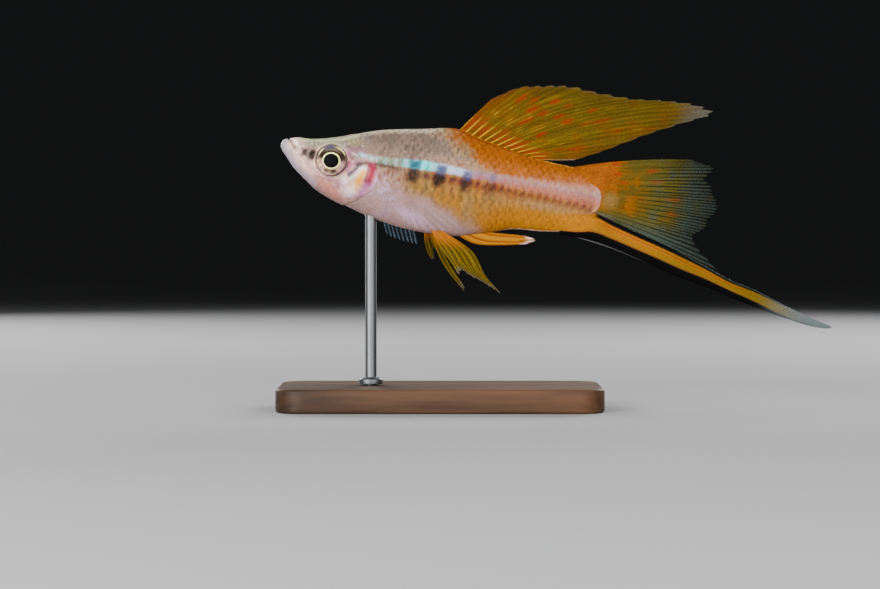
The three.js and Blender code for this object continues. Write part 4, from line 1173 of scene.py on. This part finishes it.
def caudal_tint(fin):
    a, run, points = fin["a"], fin["run"], fin["points"]
    along, up = points[..., 0], points[..., 2]
    gap = np.exp(-(fin["gap"] / (0.045 + 0.01 * soft(along, 73, 84))) ** 2) * soft(along - 0.8 * up, 69, 75)
    wander = 3.4 * ripple(35, along * 0.6, up * 1.3) + 1.5 * ripple(37, along * 1.5, a * 40)
    upper = soft(up - 0.1 * wander, -2.4, -0.6)
    root = soft(along + 1.3 * wander, 74.8, 68.5) * upper
    ochre = soft(along + 2.0 * wander + 0.5 * up, 83, 71) * upper
    olive = soft(along + 2 * wander, 92, 80) * soft(up, -6.5, -1.5)
    streak = ripple(36, a * 60, fin["v"] * 5)
    band = mix(spread(CAUDAL_BAND, a), CAUDAL_OLIVE, 0.9 * olive)
    band = mix(band, CAUDAL_OCHRE, 0.8 * ochre)
    band = mix(band, FIN_BROWN, 0.6 * ochre * soft(streak, 0.1, 0.5))
    band = band * (1 + 0.3 * streak * (1 - root))[..., None]
    band = band * (1 - 0.4 * soft(along, 79, 91))[..., None]
    tint = mix(band, BLACK, (0.72 + 0.16 * soft(along, 76, 82)) * gap * (1 - 0.6 * root))
    golden = 0.85 * soft(up + 0.3 * wander, 3.0, 1.2) * soft(along, 67.5, 69.5)
    flecks = soft(ripple(38, along * 1.2, up * 2.4), 0.0, 0.5)
    golden = np.maximum(golden, 0.5 * flecks * soft(along, 67, 72))
    # The root's orange is the tail stalk's orange made an eighth darker, as painted shade.
    bright = mix(tail_orange(along, up) * 0.88, CAUDAL_OCHRE, golden)
    tint = mix(tint, bright, 0.95 * root)
    tint = mix(tint, FLANK_OLIVE, 0.7 * blob(along, up, (70.0, 0.5), 1.7, 1.7))
    tint = mix(tint, ORANGE, 0.5 * blob(along, up, (74.2, 0.4), 1.1, 2.0, 10))
    tint = mix(tint, FIN_RED, 0.7 * ray_marks(points, fin["way"], CAUDAL_MARKS))
    body_end = soft(run, 6.5, 4.0)
    tint = mix(tint, SWORD_GREY, 0.3 * soft(along, 73, 69) * soft(up, -2.0, -3.0) * (1 - gap))
    tint = mix(tint, body_tint(along, up, 0.9), soft(end_arc(along, up), 1.06, 1.0))
    fade = soft(fin["v"] + 0.12 * streak, 0.8, 1.04)
    alpha = 0.72 + 0.24 * olive - 0.3 * gap * (1 - root) - 0.45 * fade
    return with_alpha(tint, np.clip(np.maximum(alpha, np.maximum(root, body_end)), 0.05, 1))


def gonopodium_tint(fin):
    a, v = fin["a"], fin["v"]
    yellow = 0.4 + 0.6 * hill(a, 0.62, 0.16) + 0.4 * hill(a, 0.2, 0.1)
    tint = mix(spread(FIN_ORANGE, a), SWORD_YELLOW * 1.35, yellow)
    tint = mix(tint, SWORD_LINE, 0.75 * hill(a, 0.36, 0.06) + 0.75 * hill(a, 0.82, 0.05))
    tint = mix(tint, GILL_SILVER, 0.8 * soft(v, 0.84, 0.95) * soft(np.sin(a * 19), -0.7, 0.5))
    tint = mix(tint, BLACK, 0.5 * soft(v, 0.72, 0.8) * hill(a, 0.5, 0.08))
    return with_alpha(tint, np.ones_like(a))


def pelvic_tint(fin):
    a, v = fin["a"], fin["v"]
    gap = np.exp(-(fin["gap"] / 0.12) ** 2)
    tint = mix(spread(FIN_ORANGE, a), FIN_OLIVE, soft(v, 0.08, 0.4))
    tint = mix(tint, FIN_GOLD * 1.2, 0.6 * fin["ray"])
    tint = mix(tint, FIN_GREY, 0.75 * soft(v, 0.82, 1.0))
    tint = mix(tint, FIN_DARK, 0.75 * gap * soft(v, 0.15, 0.35))
    alpha = 0.95 - 0.2 * soft(v, 0.4, 1.0) - 0.45 * gap * soft(v, 0.2, 0.5)
    return with_alpha(tint, np.clip(alpha, 0, 1))


def near_pectoral_tint(fin):
    tint = mix(spread(BELLY, fin["a"]), PALE_RAY, 0.3 * fin["ray"])
    alpha = 0.03 + 0.05 * fin["ray"] * soft(fin["v"], 0.4, 0.75)
    return with_alpha(tint, np.clip(alpha, 0, 1))


def far_pectoral_tint(fin):
    tint = mix(spread(BLACK, fin["a"]), TEAL_GREY, fin["ray"])
    return with_alpha(tint, 0.06 + 0.6 * fin["ray"])


DORSAL_SINK = 0.6
CAUDAL_SINK = 3.0


def make_fins():
    dorsal = [
        middle_ray((root, float(back_at(turn_at(root))) - DORSAL_SINK), (along, up), rise)
        for root, along, up, rise in DORSAL_RAYS
    ]
    caudal = [
        middle_ray((root - CAUDAL_SINK, 0.93 * root_up), (along, up), rise)
        for root, root_up, along, up, rise in CAUDAL_RAYS
    ]
    make_fin("dorsal_rays", "dorsal_fin", dorsal, 0, dorsal_tint, FIN_MATERIAL, "orange_fin",
             per_ray=16, lengthwise=170, splits=((0.3, 0.25),), root_half=0.45)
    make_fin("caudal_rays", "caudal_fin", caudal, 0, caudal_tint, FIN_MATERIAL, "clear_fin",
             per_ray=32, lengthwise=120, splits=((0.2, 0.25), (0.5, 0.125)), ray_width=0.09, gap_width=0.06,
             notch=0.022, rough=0.08, root_half=0.9, root_run=4.5, root_at=3.2)
    make_fin("gonopodium_rays", "gonopodium", GONOPODIUM_RAYS, 0, gonopodium_tint, SWORD_MATERIAL,
             "orange_fin", per_ray=24, lengthwise=60, splits=(), membrane=0.4, notch=0.0, rough=0.0, wave=0.0)
    for end, rays, side in (("left", PELVIC_LEFT, LEFT), ("right", PELVIC_RIGHT, RIGHT)):
        make_fin("pelvic_rays_" + end, "pelvic_fin_" + end, rays, side, pelvic_tint, FIN_MATERIAL,
                 "orange_fin", per_ray=16, lengthwise=70, ray_width=0.17, notch=0.05)
    pectoral = dict(per_ray=24, lengthwise=70, membrane=0.03, root_half=0.2, root_run=0.8)
    make_fin("pectoral_rays_left", "pectoral_fin_left", PECTORAL_LEFT, LEFT, near_pectoral_tint,
             FIN_MATERIAL, "pale_fin", splits=((0.02, 0.25),), ray_width=0.1, notch=0.06, **pectoral)
    make_fin("pectoral_rays_right", "pectoral_fin_right", PECTORAL_RIGHT, RIGHT, far_pectoral_tint,
             FIN_MATERIAL, "pale_fin", splits=((-0.3, 0.25),), gap_width=0.1, notch=0.1, **pectoral)


def ring_cap(centre, ring):
    """Triangles from a point to the sides of a ring of points."""
    return np.stack([np.full_like(ring, centre), ring, np.roll(ring, -1)], axis=1)


def make_sword():
    """The long lower lobe: orange rays between black margins, grey at the tip."""
    places, tops, bottoms = SWORD_SECTIONS.T
    top_at, bottom_at = through(places, tops), through(places, bottoms)
    length = np.linspace(0, 1, 260)
    around = np.linspace(0, 2 * math.pi, 73)[:-1]
    v, angle = np.meshgrid(length, around, indexing="ij")
    along = places[0] + v * (places[-1] - places[0])
    top, bottom = top_at(along), bottom_at(along)
    close = np.sqrt(np.clip(1 - ((v - 0.975) / 0.025).clip(0, 1) ** 2, 0, 1))
    half = (top - bottom) / 2 * close
    share = 0.5 + 0.5 * np.sin(angle)
    rays = np.cos(share * 9 * 2 * math.pi)
    thick = (0.5 - 0.26 * v) * close * (0.7 + 0.3 * soft(along, 60.6, 63.5) + 0.4 * hill(along, 66.5, 2.8))
    out = thick * np.sign(np.cos(angle)) * np.abs(np.cos(angle)) ** 0.8 * (1 + 0.08 * rays)
    up = (top + bottom) / 2 + half * np.sin(angle)
    points = np.stack([along, out, up], axis=-1)
    tint = sword_tint(along, up, share, rays)
    faces = grid_faces(*v.shape, closed=True)
    ends = [points[0].mean(axis=0), points[-1].mean(axis=0)]
    both = np.concatenate([points.reshape(-1, 3), ends])
    colours = np.concatenate([tint.reshape(-1, 4), tint[0, :1], tint[-1, :1]])
    total, ring = v.size, np.arange(v.shape[1])
    first = ring_cap(total, ring)[:, [0, 2, 1]]
    last = ring_cap(total + 1, ring + total - len(ring))
    triangles = np.concatenate([faces[:, [0, 1, 2]], faces[:, [0, 2, 3]], first, last])
    piece = make_piece("sword_rays", to_row(both), triangles, colours, SWORD_MATERIAL)
    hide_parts("sword")


ORANGE_TOP = (
    [66, 70, 76, 84, 92, 100, 110, 120],
    [0.88, 0.82, 0.82, 0.83, 0.85, 0.85, 0.88, 1.0],
)
ORANGE_BOTTOM = (
    [60, 64, 68, 76, 86, 97, 104, 112],
    [0.36, 0.34, 0.36, 0.36, 0.36, 0.4, 0.32, 0.1],
)


def sword_tint(along, up, share, rays):
    """Colours across the sword, where share is 0 at its lower edge and 1 at its upper edge."""
    orange_top = np.interp(along, *ORANGE_TOP)
    orange_bottom = np.interp(along, *ORANGE_BOTTOM)
    tint = mix(spread(SWORD_ORANGE, along), SWORD_YELLOW, soft(share, 0.72, 0.52))
    tint = mix(tint, SWORD_LINE, 0.6 * hill(share, 0.7, 0.03) + 0.4 * hill(share, 0.57, 0.03))
    tint = tint * ((1 + 0.15 * rays) * (1 - 0.25 * soft(along, 78, 88)))[..., None]
    tint = tint * (1 - soft(along, 76, 86)[..., None] * np.array([0.14, -0.1, -0.6]))
    tint = tint * (1 + 0.3 * hill(share, 0.67, 0.13) * soft(along, 68, 74) * soft(along, 102, 92))[..., None]
    # Near the root the sword takes the body's rear belly colour, a tenth darker as painted shade to match the
    # body's shaded underside.
    tint = mix(tint, REAR_BELLY * 0.9, soft(along, 71.0, 66.0))
    tint = mix(tint, LINE_BROWN, 0.4 * soft(share, orange_bottom + 0.14, orange_bottom))
    black = np.maximum(soft(share, orange_top - 0.03, orange_top + 0.03) * soft(along, 66.5, 68.5),
                       soft(share, orange_bottom + 0.03, orange_bottom - 0.03))
    under = belly_at(turn_at(np.minimum(along, 66.0)))
    black = np.maximum(black, soft(up, under + 0.05, under - 0.35) * soft(along, 64.5, 62.5))
    tint = mix(tint, BLACK, black)
    white_edge = soft(share, 0.05, 0.02) * soft(along, 82, 66)
    tint = mix(tint, SWORD_GREY, 0.65 * white_edge * soft(along, 63.5, 66.5))
    rim = soft(share, 0.93, 0.98) * soft(along, 84, 92)
    tint = mix(tint, CAUDAL_BAND, 0.6 * rim)
    tint = mix(tint, CAUDAL_OLIVE * 1.4, 0.7 * soft(along, 96, 107) * (1 - black))
    tint = mix(tint, SWORD_TIP, soft(along, 103, 116))
    return with_alpha(tint, np.ones_like(along))


# Eyes

EYE_SEEN = 3.2
EYE_FIT = 3.4
EYE_SINK = 0.16
EYE_DOME = 0.56
EYE_REAR = 1.4
FRONT_SHARE = 0.62


def body_width(along, up):
    """Half the body's width at a side-view place."""
    turn = turn_at(along)
    back, belly, half = back_at(turn), belly_at(turn), half_at(turn)
    widest = belly + (back - belly) * widest_share(turn)
    upper = up >= widest
    power = np.where(upper, crown_power(turn), 2.0)
    tall = np.where(upper, back - widest, widest - belly)
    return half * (1 - np.clip(np.abs(up - widest) / tall, 0, 1) ** power) ** (1 / power)


def eye_tint(right, above):
    """Colours of the eye by distances rearward and upward from its middle."""
    radius, angle = np.hypot(right, above), np.arctan2(above, right)
    height = np.sin(angle)
    pupil = np.hypot(right + 0.03, (above + 0.12) / 0.93) + 0.03 * ripple(62, right * 2, above * 2)
    grain = ripple(61, right * 4, above * 4)

    def patch(degrees, half_turn, middle, half_wide):
        gap = (angle - math.radians(degrees) + math.pi) % (2 * math.pi) - math.pi
        return np.exp(-((gap / half_turn) ** 2 + ((radius - middle) / half_wide) ** 2) ** 1.5)

    tint = mix(spread(EYE_PINK, radius), EYE_CREAM, 0.5 * soft(grain, -0.1, 0.5))
    tint = mix(tint, MAUVE, 0.45 * patch(-15, 0.6, 2.8, 0.55))
    upper = soft(height + 0.15 * grain, -0.1, 0.25)
    tint = mix(tint, EYE_OLIVE, 0.9 * upper * soft(radius, 3.4, 2.9))
    tint = mix(tint, EYE_CREAM, 0.3 * patch(66, 0.4, 2.95, 0.3))
    tint = mix(tint, EYE_BROWN, 0.9 * patch(30, 0.55, 2.5, 0.66))
    tint = mix(tint, EYE_BROWN, 0.9 * patch(158, 0.5, 2.45, 0.72))
    tint = mix(tint, EYE_BROWN, 0.95 * upper * soft(pupil, 2.45, 2.1))
    tint = mix(tint, EYE_VIOLET, 0.8 * patch(104, 0.5, 2.8, 0.5))
    # Painted highlights: two bright arcs on the upper rim of the eye.
    tint = mix(tint, EYE_RING, 0.85 * patch(52, 0.34, 3.02, 0.14))
    tint = mix(tint, EYE_RING, 0.8 * patch(150, 0.3, 2.92, 0.13))
    tint = mix(tint, EYE_BROWN, 0.95 * patch(-72, 0.42, 2.36, 0.5))
    tint = mix(tint, EYE_LINE, 0.9 * patch(-108, 0.3, 2.34, 0.44))
    tint = mix(tint, EYE_LINE, 0.35 * hill(pupil, 2.0, 0.14))
    tint = mix(tint, EYE_LINE, 0.85 * patch(-40, 0.8, 3.15, 0.34))
    tint = mix(tint, EYE_LINE, 0.75 * soft(radius, 3.02, 3.14))
    ring = mix(spread(EYE_RING, radius), EYE_PEACH, 0.5 * soft(height, 0.0, -0.7))
    ring = mix(ring, EYE_YELLOW, 0.4 * soft(np.cos(angle - 0.5), 0.6, 1.0))
    tint = mix(tint, ring, soft(pupil, 1.93, 1.83))
    return mix(tint, BLACK, soft(pupil, 1.68, 1.58))


def make_eye(name, node, side):
    """The eyeball, turned to lie in the head's side, with its iris and pupil."""
    rim = np.linspace(0, 2 * math.pi, 48, endpoint=False)
    right, above = EYE_FIT * np.cos(rim), EYE_FIT * np.sin(rim)
    widths = body_width(EYE_CENTRE[0] + right, EYE_CENTRE[2] + above)
    places = np.column_stack([np.ones(48), right, above])
    base, lean_right, lean_up = np.linalg.lstsq(places, widths, rcond=None)[0]
    rings = np.linspace(0, 1, 130)
    angles = np.linspace(-math.pi, math.pi, 193)[:-1]
    ring, angle = np.meshgrid(rings, angles, indexing="ij")
    front = ring < FRONT_SHARE
    outward = EYE_SEEN * np.sin(np.minimum(ring / FRONT_SHARE, 1) * math.pi / 2)
    inward = EYE_SEEN * np.cos((ring - FRONT_SHARE) / (1 - FRONT_SHARE) * math.pi / 2)
    radius = np.where(front, outward, inward)
    roundness = 1 - (radius / EYE_SEEN) ** 2
    rise = EYE_DOME * roundness + 0.05 * hill(radius, 1.85, 0.2) - 0.05 * hill(radius, 2.35, 0.25)
    depth = np.where(front, rise, -EYE_REAR * np.sqrt(np.clip(roundness, 0, 1)))
    right, above = radius * np.cos(angle), radius * np.sin(angle)
    width = base - EYE_SINK + lean_right * right + lean_up * above + depth
    points = np.stack([EYE_CENTRE[0] + right, side * width, EYE_CENTRE[2] + above], axis=-1)
    shown = np.where(front, radius, EYE_SEEN)
    tint = with_alpha(eye_tint(shown * np.cos(angle), shown * np.sin(angle)), 1.0)
    faces = grid_faces(*ring.shape, closed=True)
    if side == RIGHT:
        faces = faces[:, ::-1]
    ball = make_piece(name, to_row(points), faces, tint, EYE_MATERIAL)
    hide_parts(node)


# Stand

STAND_CORNER = 6.0
STAND_EDGE = 0.6
ROD_RADIUS = 1.2
ROD_ROUNDING = 0.12
COLLAR_FOOT = 5.3
COLLAR_SIDE = 0.95
COLLAR_HEIGHT = 1.4
COLLAR_TAPER = 0.72


def lathe(profile, segments):
    """Points and faces of a profile (radius, height) turned about Z."""
    profile = np.asarray(profile, float)
    angles = np.linspace(0, 2 * math.pi, segments, endpoint=False)
    radius, angle = np.meshgrid(profile[:, 0], angles, indexing="ij")
    height = np.repeat(profile[:, 1:], segments, axis=1)
    points = np.stack([radius * np.cos(angle), radius * np.sin(angle), height], axis=-1)
    return points.reshape(-1, 3), grid_faces(len(profile), segments, closed=True)


def rounded_step(corner, towards, after, size, steps=4):
    """Points that round a profile's corner."""
    corner, towards, after = (np.asarray(p, float) for p in (corner, towards, after))
    start = corner + (towards - corner) / np.linalg.norm(towards - corner) * size
    end = corner + (after - corner) / np.linalg.norm(after - corner) * size
    shares = np.linspace(0, 1, steps)[:, None]
    return (1 - shares) ** 2 * start + 2 * shares * (1 - shares) * corner + shares ** 2 * end


def rounded_profile(points, size):
    rounded = [np.asarray(points[:1], float)]
    for before, corner, after in zip(points, points[1:], points[2:]):
        rounded.append(rounded_step(corner, before, after, size))
    rounded.append(np.asarray(points[-1:], float))
    return np.concatenate(rounded)


def make_base():
    """The wooden slab, with round corners and softened edges."""
    low, high = (np.array(c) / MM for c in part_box("stand_base"))
    half = (high - low) / 2
    steps = np.linspace(0, math.pi / 2, 13)
    outline = []
    for quarter, (sx, sy) in enumerate([(1, 1), (-1, 1), (-1, -1), (1, -1)]):
        turn = quarter * math.pi / 2 + steps
        x = sx * (half[0] - STAND_CORNER) + STAND_CORNER * np.cos(turn)
        y = sy * (half[1] - STAND_CORNER) + STAND_CORNER * np.sin(turn)
        outline.append(np.stack([x, y], axis=-1))
    outline = np.concatenate(outline)
    inner = half[:2] - STAND_CORNER
    direction = outline - np.clip(outline, -inner, inner)
    direction = direction / np.linalg.norm(direction, axis=1, keepdims=True)
    bends = np.linspace(0, math.pi / 2, 5)
    levels = [(STAND_EDGE - STAND_EDGE * math.sin(b), STAND_EDGE - STAND_EDGE * math.cos(b)) for b in bends]
    rings = [(inset, low[2] + rise) for inset, rise in levels]
    rings += [(inset, high[2] - rise) for inset, rise in levels[::-1]]
    rows = [np.column_stack([outline - direction * inset, np.full(len(outline), z)]) for inset, z in rings]
    faces = grid_faces(len(rows), len(outline), closed=True)
    base = make_piece("stand_base_slab", np.concatenate(rows) * MM, faces, None, WOOD_MATERIAL)
    add_caps(base.data, len(outline), len(rows))
    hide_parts("stand_base")


def make_rod():
    """The steel rod, with a collar where it meets the slab."""
    low, high = (np.array(c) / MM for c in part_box("stand_rod"))
    collar = (high[0] - low[0]) / 2
    profile = rounded_profile([
        (0.0, low[2]), (ROD_RADIUS, low[2]), (ROD_RADIUS, COLLAR_FOOT), (collar, COLLAR_FOOT),
        (collar, COLLAR_FOOT + COLLAR_SIDE), (collar * COLLAR_TAPER, COLLAR_FOOT + COLLAR_HEIGHT),
        (ROD_RADIUS, COLLAR_FOOT + COLLAR_HEIGHT), (ROD_RADIUS, high[2]), (0.0, high[2]),
    ], ROD_ROUNDING)
    points, faces = lathe(profile, 48)
    points[:, 0] += ((low + high) / 2)[0]
    piece = make_piece("stand_rod_steel", points * MM, faces, None, STEEL_MATERIAL)
    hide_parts("stand_rod")


def add_caps(mesh, ring, rows):
    """Close a stack of rings with one face at each end."""
    work = bmesh.new()
    work.from_mesh(mesh)
    work.verts.ensure_lookup_table()
    work.faces.new([work.verts[i] for i in range(ring)][::-1])
    work.faces.new([work.verts[(rows - 1) * ring + i] for i in range(ring)])
    bmesh.ops.recalc_face_normals(work, faces=work.faces)
    work.to_mesh(mesh)
    work.free()


def wood_material():
    material, tree, shader = nodes_of("dark_wood")
    grain = noise_node(tree, 90, 5.0, (0.18, 1.6, 1.0))
    fine = noise_node(tree, 900, 4.0, (0.06, 1.0, 1.0))
    ramp = ramp_node(tree, (0.32, (0.022, 0.011, 0.006)), (0.68, (0.1, 0.045, 0.018)))
    add = tree.nodes.new("ShaderNodeMath")
    add.operation = "MULTIPLY_ADD"
    add.inputs[1].default_value = 0.35
    tree.links.new(fine.outputs["Fac"], add.inputs[0])
    tree.links.new(grain.outputs["Fac"], add.inputs[2])
    shift = tree.nodes.new("ShaderNodeMath")
    shift.operation = "SUBTRACT"
    shift.inputs[1].default_value = 0.17
    tree.links.new(add.outputs["Value"], shift.inputs[0])
    tree.links.new(shift.outputs["Value"], ramp.inputs["Fac"])
    tree.links.new(ramp.outputs["Color"], shader.inputs["Base Color"])
    set_inputs(shader, {"Roughness": 0.55, "Specular IOR Level": 0.2})
    add_bump(tree, shader, fine.outputs["Fac"], 0.0001, 0.3)
    return material


def steel_material():
    material, tree, shader = nodes_of("satin_steel")
    set_inputs(shader, {"Base Color": (0.13, 0.133, 0.138, 1), "Metallic": 1.0})
    brushed = noise_node(tree, 2200, 2.0, (1.0, 1.0, 0.03))
    rough = tree.nodes.new("ShaderNodeMapRange")
    set_inputs(rough, {"To Min": 0.42, "To Max": 0.55})
    tree.links.new(brushed.outputs["Fac"], rough.inputs["Value"])
    tree.links.new(rough.outputs["Result"], shader.inputs["Roughness"])
    return material


SKIN_MATERIAL = tinted_material("skin", 0.42, shine=0.12, coat=0.05, metal=0.1, speckle=0.12, bump=0.25,
                                under=0.08)
SCALE_MATERIAL = tinted_material("scales", 0.45, shine=0.06, coat=0.02, metal=0.18, speckle=0.18,
                                 speckle_size=1800, bump=0.2)
FIN_MATERIAL = tinted_material("fin", 0.55, shine=0.05, metal=0.1, speckle=0.2, speckle_size=2400, bump=0.15,
                               see_through=True)
SWORD_MATERIAL = tinted_material("sword", 0.55, shine=0.04, metal=0.2, speckle=0.12, bump=0.1)
EYE_MATERIAL = tinted_material("eye", 0.5, shine=0.03, speckle=0.1, bump=0.0)
WOOD_MATERIAL = wood_material()
STEEL_MATERIAL = steel_material()


# Floor, light and camera


def make_studio():
    """A pale round floor that curves up into a darker wall, far outside the view's turn."""
    flat, wall, top = 0.8, 1.3, 1.4
    bend = wall - flat
    turns = np.linspace(0, math.pi / 2, 16)
    profile = [(0.0, 0.0), (0.2, 0.0), (0.4, 0.0), (0.6, 0.0)]
    profile += [(flat + bend * math.sin(t), bend * (1 - math.cos(t))) for t in turns]
    profile += [(wall, top)]
    points, faces = lathe(profile, 96)
    mesh = bpy.data.meshes.new("studio")
    mesh.from_pydata([tuple(p) for p in points], [], [tuple(int(i) for i in f) for f in faces])
    mesh.polygons.foreach_set("use_smooth", np.full(len(mesh.polygons), True))
    studio = place_in_scene("studio", mesh)
    material, tree, shader = nodes_of("studio")
    place = tree.nodes.new("ShaderNodeTexCoord")
    distance = tree.nodes.new("ShaderNodeVectorMath")
    distance.operation = "LENGTH"
    ramp = ramp_node(tree, (0.26, (0.3, 0.3, 0.305)), (0.82, (0.011, 0.0115, 0.013)))
    ramp.color_ramp.interpolation = "EASE"
    tree.links.new(place.outputs["Object"], distance.inputs[0])
    tree.links.new(distance.outputs["Value"], ramp.inputs["Fac"])
    tree.links.new(ramp.outputs["Color"], shader.inputs["Base Color"])
    set_inputs(shader, {"Roughness": 0.9})
    mesh.materials.append(material)


def add_light(name, place, target, size, power):
    light = bpy.data.lights.new(name, "AREA")
    light.shape = "RECTANGLE"
    light.size, light.size_y = size
    light.energy = power
    lamp = place_in_scene(name, light)
    lamp.location = place
    way = np.array(target) - np.array(place)
    lamp.rotation_mode = "QUATERNION"
    lamp.rotation_quaternion = Vector(way).to_track_quat("-Z", "Y")


def make_lights():
    fish = (0.005, 0.0, 0.045)
    head = (-0.02, 0.0, 0.05)
    add_light("key", (-0.32, -0.5, 0.2), fish, (0.35, 0.3), 6.6)
    add_light("second", (0.3, -0.55, 0.2), fish, (0.3, 0.3), 3.4)
    add_light("low", (-0.36, -0.4, 0.03), head, (0.3, 0.1), 1.3)
    add_light("top", (0.05, 0.1, 0.5), fish, (0.5, 0.3), 0.9)
    add_light("back_left", (0.3, 0.5, 0.25), fish, (0.3, 0.25), 3.4)
    add_light("back_right", (-0.3, 0.5, 0.2), fish, (0.3, 0.25), 3.0)
    world = bpy.data.worlds.new("studio_air")
    world.use_nodes = True
    set_inputs(world.node_tree.nodes["Background"], {"Color": (0.8, 0.85, 0.9, 1), "Strength": 0.12})
    bpy.context.scene.world = world


def make_camera():
    """Side on, as in the photograph, just above the level of the fish."""
    distance, rise = 0.6, math.radians(1.5)
    frame_width = PHOTO_WIDTH * PHOTO_PIXEL * MM
    target = np.array([0.0, 0.0, (PHOTO_FLOOR_ROW - PHOTO_MIDDLE_ROW) * PHOTO_PIXEL * MM])
    data = bpy.data.cameras.new("camera")
    data.sensor_width = 36.0
    data.lens = data.sensor_width * distance / frame_width
    data.clip_start, data.clip_end = 0.01, 20.0
    camera = place_in_scene("camera", data)
    camera.location = target + distance * np.array([0.0, -math.cos(rise), math.sin(rise)])
    camera.rotation_euler = (math.pi / 2 - rise, 0.0, 0.0)
    bpy.context.scene.camera = camera


make_skin()
make_scales("scales_left", LEFT)
make_scales("scales_right", RIGHT)
make_fins()
make_sword()
make_eye("eyeball_left", "eye_left", LEFT)
make_eye("eyeball_right", "eye_right", RIGHT)
make_base()
make_rod()
make_studio()
make_lights()
make_camera()
